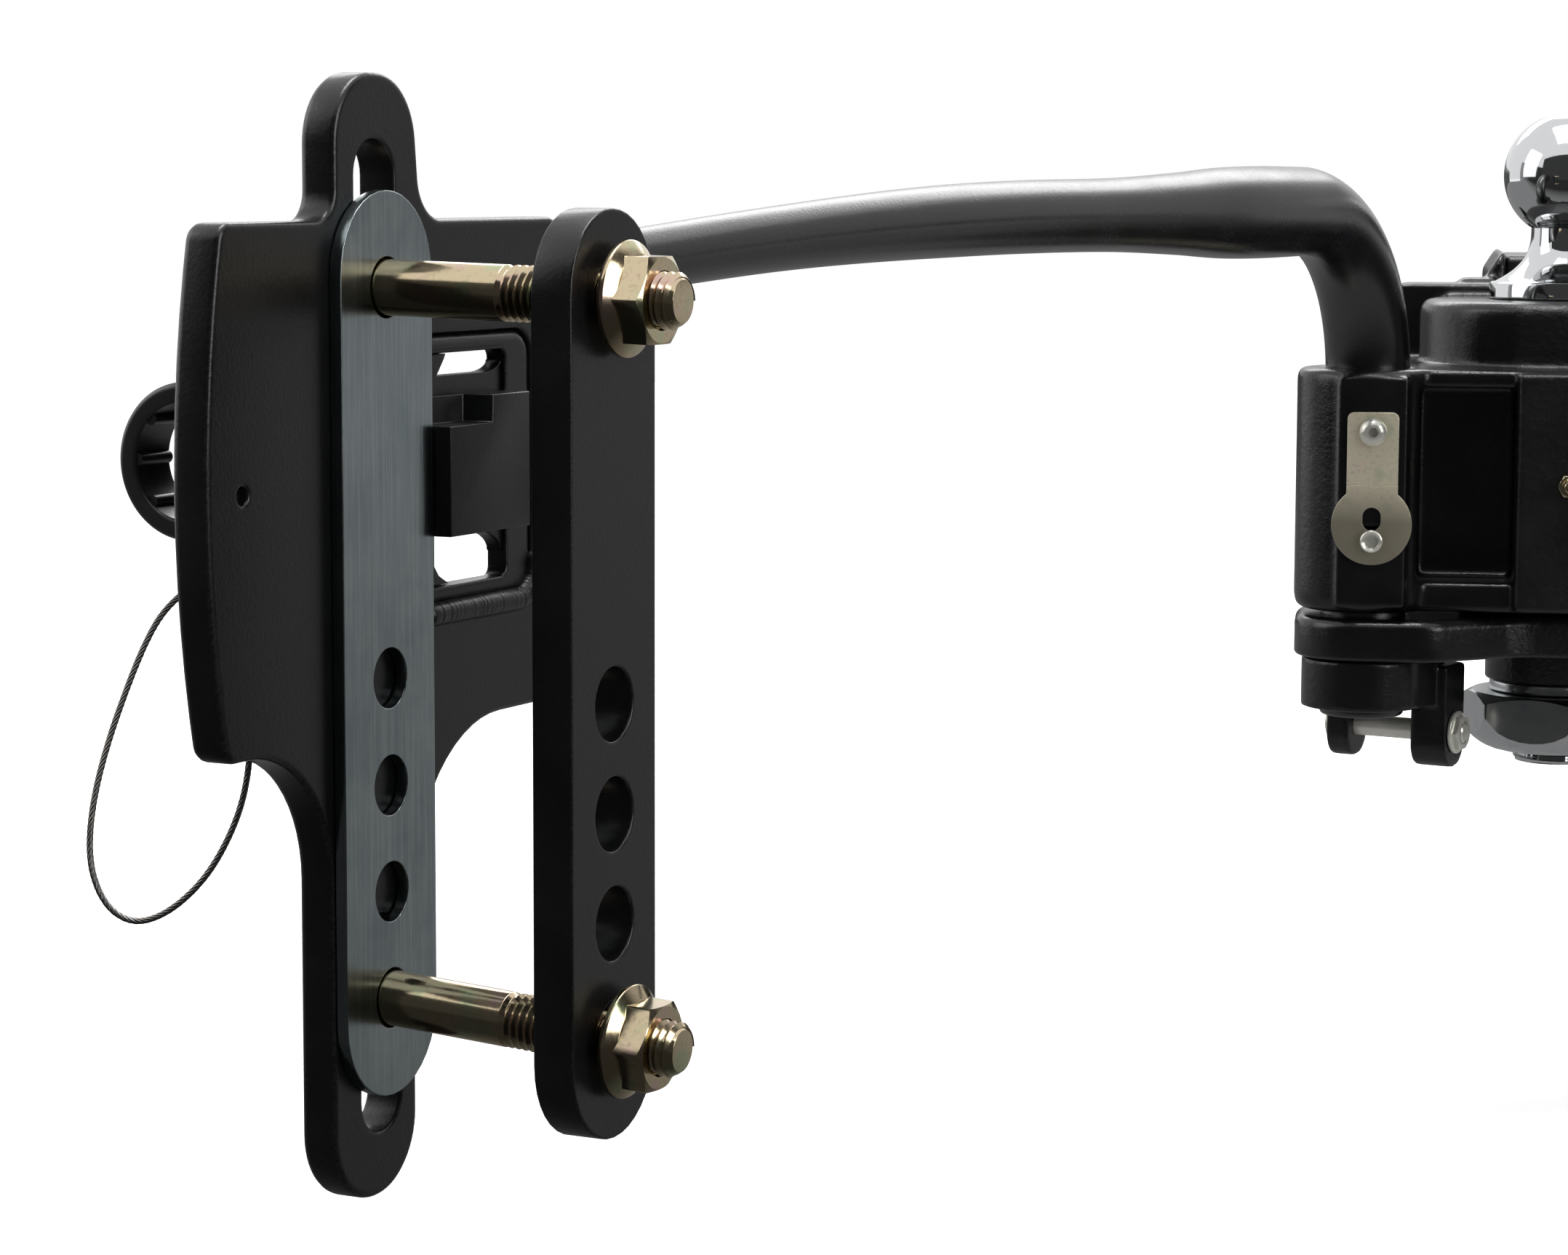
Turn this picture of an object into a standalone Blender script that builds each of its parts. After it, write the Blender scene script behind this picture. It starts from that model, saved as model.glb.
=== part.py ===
"""Weight distribution hitch for a trailer, built as separate pieces.

Frame: metres, +Y forward to the towing vehicle, +X to the right, +Z up.
The origin is the centre of the shank's front end face. Heights below are
given as drops under the tow ball's centre, because every piece hangs below it.
"""
import math

import bmesh
import bpy
from mathutils import Matrix, Vector

LEFT = -1
RIGHT = 1
SIDE_NAMES = {LEFT: "left", RIGHT: "right"}

# Gaps and facet counts
SEAM = 0.0003               # between pieces that touch
TURN_GAP = 0.0003           # around what turns in a bore
ROUND = 12                  # sides of a bolt, hole or pin
LARGE_ROUND = 24            # sides of the ball, sockets and bars

# Shank: square drawbar with an upright between the head's cheeks
SHANK_SIDE = 0.0508
SHANK_REACH = 0.330         # ball axis to the drawbar's front face
SHANK_DROP = 0.150          # ball centre to the drawbar's axis
UPRIGHT_TOP_DROP = 0.039
UPRIGHT_BOTTOM_DROP = 0.240
UPRIGHT_DEPTH = 0.084
HITCH_PIN_HOLE = 0.0160
HITCH_PIN_SETBACK = 0.0635
SHANK_BOLT = 0.0190
SHANK_BOLT_DROPS = (0.080, 0.165)
SHANK_HEX = 0.0286

# Tow ball
BALL_DIAMETER = 0.0587
BALL_NECK = 0.0320
BALL_FLANGE = 0.0700
BALL_FLANGE_THICKNESS = 0.0085
BALL_SEAT_DROP = 0.0580     # ball centre to the platform under the flange
BALL_SHANK = 0.0381
BALL_SHANK_OVERHANG = 0.0055
BALL_NUT_HEX = 0.0794
BALL_NUT_TURN = -17.4       # degrees
BALL_NUT_HEIGHT = 0.0284
BALL_NUT_BOWL = (           # radius, height above the nut's foot
    (0.0225, -0.0003), (0.0318, 0.0025), (0.0397, 0.0085), (0.0430, 0.0140), (0.0460, 0.0205),
    (0.0500, 0.0400),
)
BALL_WASHER = 0.0610
BALL_WASHER_THICKNESS = 0.0050
BALL_TOP_FLAT = 24.0        # degrees, half angle of the flat on the ball

# Head casting
HEAD_TOP_DROP = 0.0880
HEAD_HEIGHT = 0.1100
HEAD_HALF_WIDTH = 0.0760
HEAD_REAR = 0.0880
HEAD_FRONT = 0.0400
SOCKET_OFFSET = 0.0910      # socket axis from the centre plane
SOCKET_SETBACK = 0.0700     # socket axis behind the ball axis
SOCKET_DIAMETER = 0.0640
SOCKET_PROUD = 0.0005
PLATFORM_DIAMETER = 0.1340
COLUMN_WIDTH = 0.0474
COLUMN_PROUD = 0.0060
POCKET_WIDTH = 0.0440
POCKET_MARGIN = 0.0080      # head's top to the pocket
POCKET_HEIGHT = 0.0885
POCKET_DEPTH = 0.0300
WALL_WIDTH = 0.1560
WALL_THICKNESS = 0.0200
WALL_TOP_DROP = 0.0520
CHEEK_THICKNESS = 0.0085
CHEEK_DEPTH = 0.0900
CHEEK_TOP_DROP = 0.0367
FOOT_DIAMETER = 0.0900
LOWER_PLATE_GAP = 0.0030    # head's underside to the lower plate
LOWER_PLATE_THICKNESS = 0.0191
LOWER_PLATE_END = 0.0628    # diameter of its ends round the bars
LOWER_PLATE_MIDDLE = 0.1040
LOWER_PLATE_WAIST = 0.0720  # ball axis to the rear edge between the ends
LOWER_BOSS = 0.0656         # round boss under the plate, for the ball
LOWER_BOSS_HEIGHT = 0.0181
GREASE_HEX = 0.0100
GREASE_STEM = 0.0060
GREASE_DROP = 0.1390
GREASE_LENGTH = 0.0120

# Spring bar
BAR_YAW = 23.6              # degrees to the centre line
BAR_LEVEL_DROP = 0.0160
BAR_BEND = 0.0750
BAR_REACH = 0.7960          # socket axis to the middle of the bracket
BAR_TAIL = 0.0160           # past the middle of the bracket
BAR_SLOPE = 0.0700          # fall per length of the straight tail
BAR_DROOP_START = 0.3000
BAR_DROOP_END = 0.5600
TRUNNION = 0.0386
TAIL_DIAMETER = 0.0200
BAR_TAPER = (               # distance from the socket axis, diameter
    (0.0750, 0.0390),
    (0.1200, 0.0396),
    (0.1600, 0.0382),
    (0.2000, 0.0340),
    (0.2600, 0.0296),
    (0.3400, 0.0282),
    (0.4000, 0.0270),
    (0.5070, 0.0230),
    (0.5660, 0.0217),
    (0.6400, 0.0204),
)
GROOVE_DEPTH = 0.0042
GROOVE_WIDTH = 0.0200

# Friction clamp on the bar's lower end
CLAMP_DIAMETER = 0.0558
CLAMP_HEIGHT = 0.0235
CLAMP_ARM_REACH = 0.0460
CLAMP_EAR_WIDTH = 0.0240
CLAMP_EARS = (              # near and far side across the bar, drop below the collar
    (-0.0165, -0.0275, 0.0288),
    (0.0150, 0.0325, 0.0306),
)
PINCH_DROP = 0.0142         # bolt's axis below the collar
PINCH_BOLT = 0.0100
PINCH_FLANGE = 0.0200
PINCH_HEX = 0.0150
PINCH_HEAD = 0.0045

# Latch on the socket's rear
LATCH_PAD_WIDTH = 0.0310
LATCH_PAD_PROUD = 0.0005
LATCH_PAD_MARGIN = 0.0120   # pad's ends from the socket's ends
LATCH_OFFSET = 0.0029       # from the socket's axis toward the centre plane
LATCH_TOP_DROP = 0.1063
LATCH_WIDTH = 0.0230
LATCH_HEIGHT = 0.0330
LATCH_THICKNESS = 0.0020
LATCH_DISC = 0.0362
LATCH_NECK = 0.0040         # below the bend, as wide as the leaf
LATCH_SCREW = 0.0128
LATCH_SCREW_HEAD = 0.0045
LATCH_SCREW_STEM = 0.0060
LATCH_SCREW_DOWN = 0.0088   # below the leaf's top
LATCH_PIN = 0.0060
LATCH_PIN_HEAD = 0.0103
LATCH_PIN_DOWN = 0.0251     # below the bend
LATCH_SLOT_WIDTH = 0.0075
LATCH_SLOT_FOOT = 0.0045     # above the pin's axis
LATCH_SLOT_HEIGHT = 0.0095

# Frame bracket, in its own frame: x to the head, y outward, z from the ball
PLATE_YAW = 18.4
BAR_TO_STRIP = 0.0450       # bar axis behind the strip's front face
PLATE_THICKNESS = 0.0120
PLATE_TOP_DROP = 0.0125
PLATE_BOTTOM_DROP = 0.1610
PLATE_REAR_BOTTOM_DROP = 0.1588
PLATE_REAR = 0.0760
PLATE_BOW = 0.0080
PLATE_FRONT = 0.1050
PLATE_CORNER = 0.0060
EAR_WIDTH = 0.0416
EAR_TOP_RISE = 0.0290
EAR_FLARE = 0.0045          # more width at the ear's foot, to the front
EAR_FILLET = 0.0130
EAR_FILLET_REAR = 0.0085
LEG_REAR = 0.0250
LEG_FRONT = 0.0192
LEG_BOTTOM_DROP = 0.2946
LEG_FILLET_REAR = 0.0400
LEG_FILLET_FRONT = 0.0500
EAR_SLOT_WIDTH = 0.0205
EAR_SLOT_MARGIN = 0.0187    # ear's end to the slot
EAR_SLOT_LENGTH = 0.0640
WINDOW_REAR = 0.0245
WINDOW_FRONT = 0.0720
WINDOW_TOP_DROP = 0.0516
WINDOW_BOTTOM_DROP = 0.1200
WINDOW_CORNER = 0.0030
COLLAR_WALL = 0.0056
COLLAR_FRONT_WALL = 0.0150
COLLAR_DEPTH = 0.0070

# Strip, clamp bar and their bolts
STRIP_WIDTH = 0.0480
STRIP_THICKNESS = 0.0037
STRIP_LENGTH = 0.2606
STRIP_TOP_DROP = 0.0040
STRIP_HOLE = 0.0175
CLAMP_BAR_WIDTH = 0.0480
CLAMP_BAR_THICKNESS = 0.0127
CLAMP_BAR_HOLE = 0.0209
CLAMP_BAR_SAG = 0.0045      # below the strip
FREE_HOLE_SAG = 0.0029
FRAME_GAP = 0.0607          # room for the trailer's frame
BOLT_DROPS = (0.0314, 0.2360)
FREE_HOLE_DROPS = (0.1429, 0.1739, 0.2049)
CLAMP_BOLT = 0.0160
BOLT_HEAD = 0.0045
BOLT_HEAD_DIAMETER = 0.0250
NUT_HEX = 0.0240
BOLT_TILTS = (1.4, 3.6)     # degrees, the bolts stand loose in their holes
BOLT_PAST_NUT = 0.0062
NUT_FLANGE = 0.0325
NUT_FLANGE_THICKNESS = 0.0035
NUT_HEIGHT = 0.0120
NUT_GAP = 0.0035

# Hanger, its pad, lock pin and lanyard
TONGUE_SIDE_GAP = 0.0010
TONGUE_PROUD = 0.0050       # in front of the strip
TONGUE_TOP_DROP = 0.0640
TONGUE_BOTTOM_DROP = 0.1044
NOTCH_WIDTH = 0.0240
NOTCH_HEIGHT = 0.0082
NOTCH_DEPTH = 0.0100
HANGER_BACK = 0.0305        # rear face of the window's clear space
HANGER_OUTER = 0.0680
HANGER_LIP = 0.0110
HANGER_LIP_RISE = 0.0240    # above the shelf
HANGER_CHAMFER = 0.0220
HANGER_WEB = (              # along the plate, drop; it narrows the window above and below the tongue
    (0.0257, 0.0535), (0.0272, 0.0519), (0.0405, 0.0519), (0.0395, 0.0535), (0.0353, 0.0583),
    (0.0613, 0.0583), (0.0653, 0.0580), (0.0686, 0.0573), (0.0709, 0.0562), (0.0717, 0.0549),
    (0.0717, 0.1127), (0.0699, 0.1096), (0.0650, 0.1069), (0.0575, 0.1051), (0.0487, 0.1045),
    (0.0335, 0.1045), (0.0335, 0.1141), (0.0360, 0.1170), (0.0414, 0.1197), (0.0272, 0.1197),
    (0.0257, 0.1181),
)
HANGER_WEB_FACE = 0.0056
PAD_THICKNESS = 0.0040
PAD_WIDTH = 0.0220
WING_THICKNESS = 0.0120
WING_HEIGHT = 0.0260
LOCK_PIN = 0.0100
LOCK_PIN_AT = -0.0080       # along the plate
LOCK_PIN_DROP = 0.0820
LOCK_PIN_GAP = 0.0003
PULL_RING = 0.0460
PULL_RING_BORE = 0.0340
PULL_RING_LENGTH = 0.0180
PULL_RING_AT = 0.0590       # outward from the strip's front
RIB_COUNT = 8
RIB_HEIGHT = 0.0022
RIB_WIDTH = 0.0030
LANYARD = 0.0020
FERRULE = 0.0046
FERRULE_LENGTH = 0.0090
ANCHOR_AT = -0.0669
ANCHOR_DROP = 0.0861
ANCHOR_SCREW = 0.0042
ANCHOR_HEAD = 0.0100
ANCHOR_HEAD_THICKNESS = 0.0030
LANYARD_ROUTE = (           # along the plate, outward, drop
    (-0.0082, 0.0593, 0.1158),
    (-0.0170, 0.0690, 0.1290),
    (-0.0305, 0.0728, 0.1530),
    (-0.0418, 0.0734, 0.1760),
    (-0.0470, 0.0716, 0.1940),
    (-0.0482, 0.0655, 0.2060),
    (-0.0474, 0.0559, 0.2105),
    (-0.0450, 0.0446, 0.2060),
    (-0.0418, 0.0334, 0.1940),
    (-0.0390, 0.0252, 0.1760),
    (-0.0400, 0.0212, 0.1560),
    (-0.0460, 0.0200, 0.1330),
    (-0.0560, 0.0202, 0.1100),
    (-0.0612, 0.0202, 0.0972),
)
LANYARD_STEP = 0.0060

# Derived heights and places
HEAD_BOTTOM_DROP = HEAD_TOP_DROP + HEAD_HEIGHT
LOWER_PLATE_TOP_DROP = HEAD_BOTTOM_DROP + LOWER_PLATE_GAP
LOWER_PLATE_BOTTOM_DROP = LOWER_PLATE_TOP_DROP + LOWER_PLATE_THICKNESS
BOSS_BOTTOM_DROP = LOWER_PLATE_BOTTOM_DROP + LOWER_BOSS_HEIGHT
WASHER_BOTTOM_DROP = BOSS_BOTTOM_DROP + BALL_WASHER_THICKNESS + SEAM
NUT_BOTTOM_DROP = WASHER_BOTTOM_DROP + BALL_NUT_HEIGHT + SEAM
CLAMP_TOP_DROP = LOWER_PLATE_BOTTOM_DROP + SEAM
CLAMP_BOTTOM_DROP = CLAMP_TOP_DROP + CLAMP_HEIGHT
LATCH_FACE = SOCKET_DIAMETER / 2 + LATCH_PAD_PROUD
LATCH_BEND_DROP = LATCH_TOP_DROP + LATCH_HEIGHT
LATCH_PIN_DROP = LATCH_BEND_DROP + LATCH_PIN_DOWN
PLATE_FACE = STRIP_THICKNESS + SEAM
PLATE_BACK = PLATE_FACE + PLATE_THICKNESS
CHEEK_FACE = SHANK_SIDE / 2 + SEAM
UPRIGHT_REAR = HEAD_FRONT + WALL_THICKNESS + SEAM


def bore(radius, gap, count):
    """Corner radius of a faceted hole that clears a round piece at every angle."""
    return (radius + gap) / math.cos(math.pi / count)


def circle(radius, count, centre=(0.0, 0.0)):
    """Corners of a regular polygon about a centre."""
    step = math.tau / count
    return [(centre[0] + radius * math.cos(step * (i + 0.5)),
             centre[1] + radius * math.sin(step * (i + 0.5))) for i in range(count)]


def rounded(corners, steps=6):
    """Outline through corners (x, y, radius), each radius a tangent arc."""
    points = []
    for i, (x, y, radius) in enumerate(corners):
        here = Vector((x, y))
        if radius <= 0.0:
            points.append((x, y))
            continue
        before = (Vector(corners[i - 1][:2]) - here).normalized()
        after = (Vector(corners[(i + 1) % len(corners)][:2]) - here).normalized()
        half = before.angle(after) / 2
        centre = here + (before + after).normalized() * (radius / math.sin(half))
        start = here + before * (radius / math.tan(half)) - centre
        end = here + after * (radius / math.tan(half)) - centre
        sweep = start.angle_signed(end)
        for k in range(steps + 1):
            turn = Matrix.Rotation(-sweep * k / steps, 2)
            point = centre + turn @ start
            points.append((point.x, point.y))
    return points


def stadium(half_width, low, high, steps=8, middle=0.0):
    """Upright slot outline with round ends."""
    points = []
    for centre, first in ((high - half_width, 0.0), (low + half_width, math.pi)):
        for k in range(steps + 1):
            angle = first + math.pi * k / steps
            points.append((middle + half_width * math.cos(angle),
                           centre + half_width * math.sin(angle)))
    return points


def slab(outline, holes, low, high, axis):
    """Flat plate with holes: outline in the plane square to the axis."""
    lay = {"X": lambda a, b, c: (c, a, b),
           "Y": lambda a, b, c: (a, c, b),
           "Z": lambda a, b, c: (a, b, c)}[axis]
    bm = bmesh.new()
    upper = {}
    edges = []
    for loop in [outline] + list(holes):
        bottom = [bm.verts.new(lay(a, b, low)) for a, b in loop]
        top = [bm.verts.new(lay(a, b, high)) for a, b in loop]
        upper.update(zip(bottom, top))
        for i in range(len(loop)):
            j = (i + 1) % len(loop)
            edges.append(bm.edges.new((bottom[i], bottom[j])))
            bm.faces.new((bottom[i], bottom[j], top[j], top[i]))
    filled = bmesh.ops.triangle_fill(bm, use_beauty=True, edges=edges)
    for face in [item for item in filled["geom"] if isinstance(item, bmesh.types.BMFace)]:
        bm.faces.new([upper[vert] for vert in face.verts])
    bmesh.ops.recalc_face_normals(bm, faces=bm.faces[:])
    return bm


def loft(rings, closed=False):
    """Skin through rings of points; open skins get flat ends."""
    bm = bmesh.new()
    rows = [[bm.verts.new(point) for point in ring] for ring in rings]
    count = len(rows[0])
    pairs = list(zip(rows, rows[1:]))
    if closed:
        pairs.append((rows[-1], rows[0]))
    for first, second in pairs:
        for i in range(count):
            j = (i + 1) % count
            bm.faces.new((first[i], first[j], second[j], second[i]))
    if not closed:
        bm.faces.new(rows[0])
        bm.faces.new(rows[-1])
    bmesh.ops.recalc_face_normals(bm, faces=bm.faces[:])
    return bm


def turned(profile, count, closed=False):
    """Round piece about Z from (radius, height) points."""
    return loft([[(x, y, height) for x, y in circle(radius, count)]
                 for radius, height in profile], closed)


def block(low, high):
    """Box between two corners."""
    outline = [(low[0], low[1]), (high[0], low[1]), (high[0], high[1]), (low[0], high[1])]
    return slab(outline, [], low[2], high[2], "Z")


def moved(bm, matrix):
    """Same piece after a rigid move."""
    bmesh.ops.transform(bm, matrix=matrix, verts=bm.verts[:])
    return bm


def along_y():
    """Turns a piece made about Z so that it runs along +Y."""
    return Matrix.Rotation(math.radians(-90), 4, "X")


def along_x():
    """Turns a piece made about Z so that it runs along +X."""
    return Matrix.Rotation(math.radians(90), 4, "Y")


def mirrored(bm):
    """The other hand of a piece, across its own y = 0 plane."""
    bmesh.ops.scale(bm, vec=(1, -1, 1), verts=bm.verts[:])
    bmesh.ops.reverse_faces(bm, faces=bm.faces[:])
    return bm


def material(name, colour, roughness, metallic):
    """Plain surface for one kind of finish."""
    made = bpy.data.materials.new(name)
    made.use_nodes = True
    shader = made.node_tree.nodes["Principled BSDF"]
    shader.inputs["Base Color"].default_value = (*colour, 1.0)
    shader.inputs["Roughness"].default_value = roughness
    shader.inputs["Metallic"].default_value = metallic
    made.diffuse_color = (*colour, 1.0)
    return made


def empty(name, parent=None, at=(0, 0, 0), turn=0.0):
    """Named axis that pieces hang on."""
    axis = bpy.data.objects.new(name, None)
    bpy.context.scene.collection.objects.link(axis)
    axis.parent = parent
    axis.location = at
    axis.rotation_euler = (0, 0, turn)
    return axis


def add(name, bm, parent, surface, at=(0, 0, 0), side=LEFT, smooth=True):
    """Piece of the hitch; the right-hand one is the left-hand one mirrored."""
    if side == RIGHT:
        mirrored(bm)
        at = (at[0], -at[1], at[2])
    mesh = bpy.data.meshes.new(name)
    bm.to_mesh(mesh)
    bm.free()
    if smooth:
        mesh.shade_smooth()
        mesh.set_sharp_from_angle(angle=math.radians(40))
    piece = bpy.data.objects.new(name, mesh)
    bpy.context.scene.collection.objects.link(piece)
    piece.parent = parent
    piece.location = at
    if surface is not None:
        mesh.materials.append(surface)
    return piece


def combine(piece, name, bm, operation, side=LEFT):
    """Joins a shape to a piece, or cuts it away."""
    tool = add(f"{piece.name}_{name}", bm, piece.parent, None, piece.location, LEFT, False)
    if side == RIGHT:
        tool.data.transform(Matrix.Scale(-1, 4, (0, 1, 0)))
        tool.data.flip_normals()
    tool.hide_render = True
    tool.display_type = "WIRE"
    step = piece.modifiers.new(name, "BOOLEAN")
    step.operation = operation
    step.object = tool
    step.solver = "EXACT"


def hexagon(across_flats):
    """Corner radius of a hexagon."""
    return across_flats / math.sqrt(3)


for old in list(bpy.data.objects):
    bpy.data.objects.remove(old, do_unlink=True)

BLACK = material("black_paint", (0.020, 0.020, 0.022), 0.42, 0.0)
STEEL = material("bare_steel", (0.120, 0.150, 0.155), 0.42, 1.0)
ZINC = material("yellow_zinc", (0.480, 0.400, 0.220), 0.30, 1.0)
CHROME = material("chrome", (0.800, 0.810, 0.820), 0.08, 1.0)
PLATED = material("zinc_plate", (0.560, 0.580, 0.590), 0.25, 1.0)
LEAF = material("latch_steel", (0.420, 0.390, 0.310), 0.35, 1.0)
ROPE = material("wire_rope", (0.220, 0.220, 0.215), 0.40, 1.0)
NYLON = material("wear_pad", (0.050, 0.050, 0.052), 0.60, 0.0)

hitch = empty("ball_centre", at=(0, -SHANK_REACH, SHANK_DROP))


def build_shank():
    """Square drawbar with an upright, cut from the side and bolted in the cheeks."""
    middle = UPRIGHT_REAR + UPRIGHT_DEPTH / 2
    front = UPRIGHT_REAR + UPRIGHT_DEPTH
    outline = [(UPRIGHT_REAR, -UPRIGHT_BOTTOM_DROP), (front, -UPRIGHT_BOTTOM_DROP),
               (front, -SHANK_DROP - SHANK_SIDE / 2), (SHANK_REACH, -SHANK_DROP - SHANK_SIDE / 2),
               (SHANK_REACH, -SHANK_DROP + SHANK_SIDE / 2), (front, -SHANK_DROP + SHANK_SIDE / 2),
               (front, -UPRIGHT_TOP_DROP), (UPRIGHT_REAR, -UPRIGHT_TOP_DROP)]
    hole = bore(SHANK_BOLT / 2, SEAM, ROUND)
    holes = [circle(hole, ROUND, (middle, -drop)) for drop in SHANK_BOLT_DROPS]
    holes.append(circle(HITCH_PIN_HOLE / 2, ROUND, (SHANK_REACH - HITCH_PIN_SETBACK, -SHANK_DROP)))
    add("shank", slab(outline, holes, -SHANK_SIDE / 2, SHANK_SIDE / 2, "X"), hitch, BLACK)
    reach = CHEEK_FACE + CHEEK_THICKNESS + SEAM
    thick = SHANK_BOLT * 0.6
    for name, drop in zip(("upper", "lower"), SHANK_BOLT_DROPS):
        bolt = turned([(hexagon(SHANK_HEX), -reach - thick), (hexagon(SHANK_HEX), -reach)], 6)
        stem = turned([(SHANK_BOLT / 2, -reach - thick / 2),
                       (SHANK_BOLT / 2, reach + 2 * thick)], ROUND)
        piece = add(f"shank_bolt_{name}", moved(bolt, along_x()), hitch, PLATED, (0, middle, -drop))
        combine(piece, "stem", moved(stem, along_x()), "UNION")
        hole = bore(SHANK_BOLT / 2, SEAM, ROUND)
        nut = slab(circle(hexagon(SHANK_HEX), 6), [circle(hole, ROUND)], reach, reach + 1.6 * thick, "Z")
        add(f"shank_nut_{name}", moved(nut, along_x()), hitch, PLATED, (0, middle, -drop))


def build_ball():
    """Ball, neck, flange and threaded shank, with its washer and nut."""
    radius = BALL_DIAMETER / 2
    neck = BALL_NECK / 2
    flange = BALL_FLANGE / 2
    first = math.radians(BALL_TOP_FLAT)
    last = math.pi - math.asin(neck / radius)
    profile = []
    for k in range(13):
        angle = first + (last - first) * k / 12
        profile.append((radius * math.sin(angle), radius * math.cos(angle)))
    low = -BALL_SEAT_DROP + BALL_FLANGE_THICKNESS
    fall = profile[-1][1] - low
    for k in range(1, 6):
        share = k / 5
        profile.append((neck + (flange - neck) * 0.86 * share ** 3, profile[12][1] - fall * share))
    end = -NUT_BOTTOM_DROP - BALL_SHANK_OVERHANG
    profile += [(flange, low), (flange, -BALL_SEAT_DROP + SEAM),
                (BALL_SHANK / 2, -BALL_SEAT_DROP + SEAM), (BALL_SHANK / 2, end + 0.003),
                (BALL_SHANK / 2 - 0.003, end)]
    add("tow_ball", turned(profile, LARGE_ROUND), hitch, CHROME)
    hole = bore(BALL_SHANK / 2, SEAM, LARGE_ROUND)
    washer = turned([(BALL_WASHER / 2, -BOSS_BOTTOM_DROP - SEAM),
                     (BALL_WASHER / 2, -WASHER_BOTTOM_DROP),
                     (hole, -WASHER_BOTTOM_DROP),
                     (hole, -BOSS_BOTTOM_DROP - SEAM)], LARGE_ROUND, closed=True)
    add("ball_washer", washer, hitch, PLATED)
    nut = slab(circle(hexagon(BALL_NUT_HEX), 6), [circle(hole, LARGE_ROUND)],
               -NUT_BOTTOM_DROP, -WASHER_BOTTOM_DROP - SEAM, "Z")
    turn = Matrix.Rotation(math.radians(BALL_NUT_TURN), 4, "Z")
    piece = add("ball_nut", moved(nut, turn), hitch, PLATED)
    bowl = turned([(r, -NUT_BOTTOM_DROP + rise) for r, rise in BALL_NUT_BOWL], LARGE_ROUND)
    combine(piece, "bowl", bowl, "INTERSECT")


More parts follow.
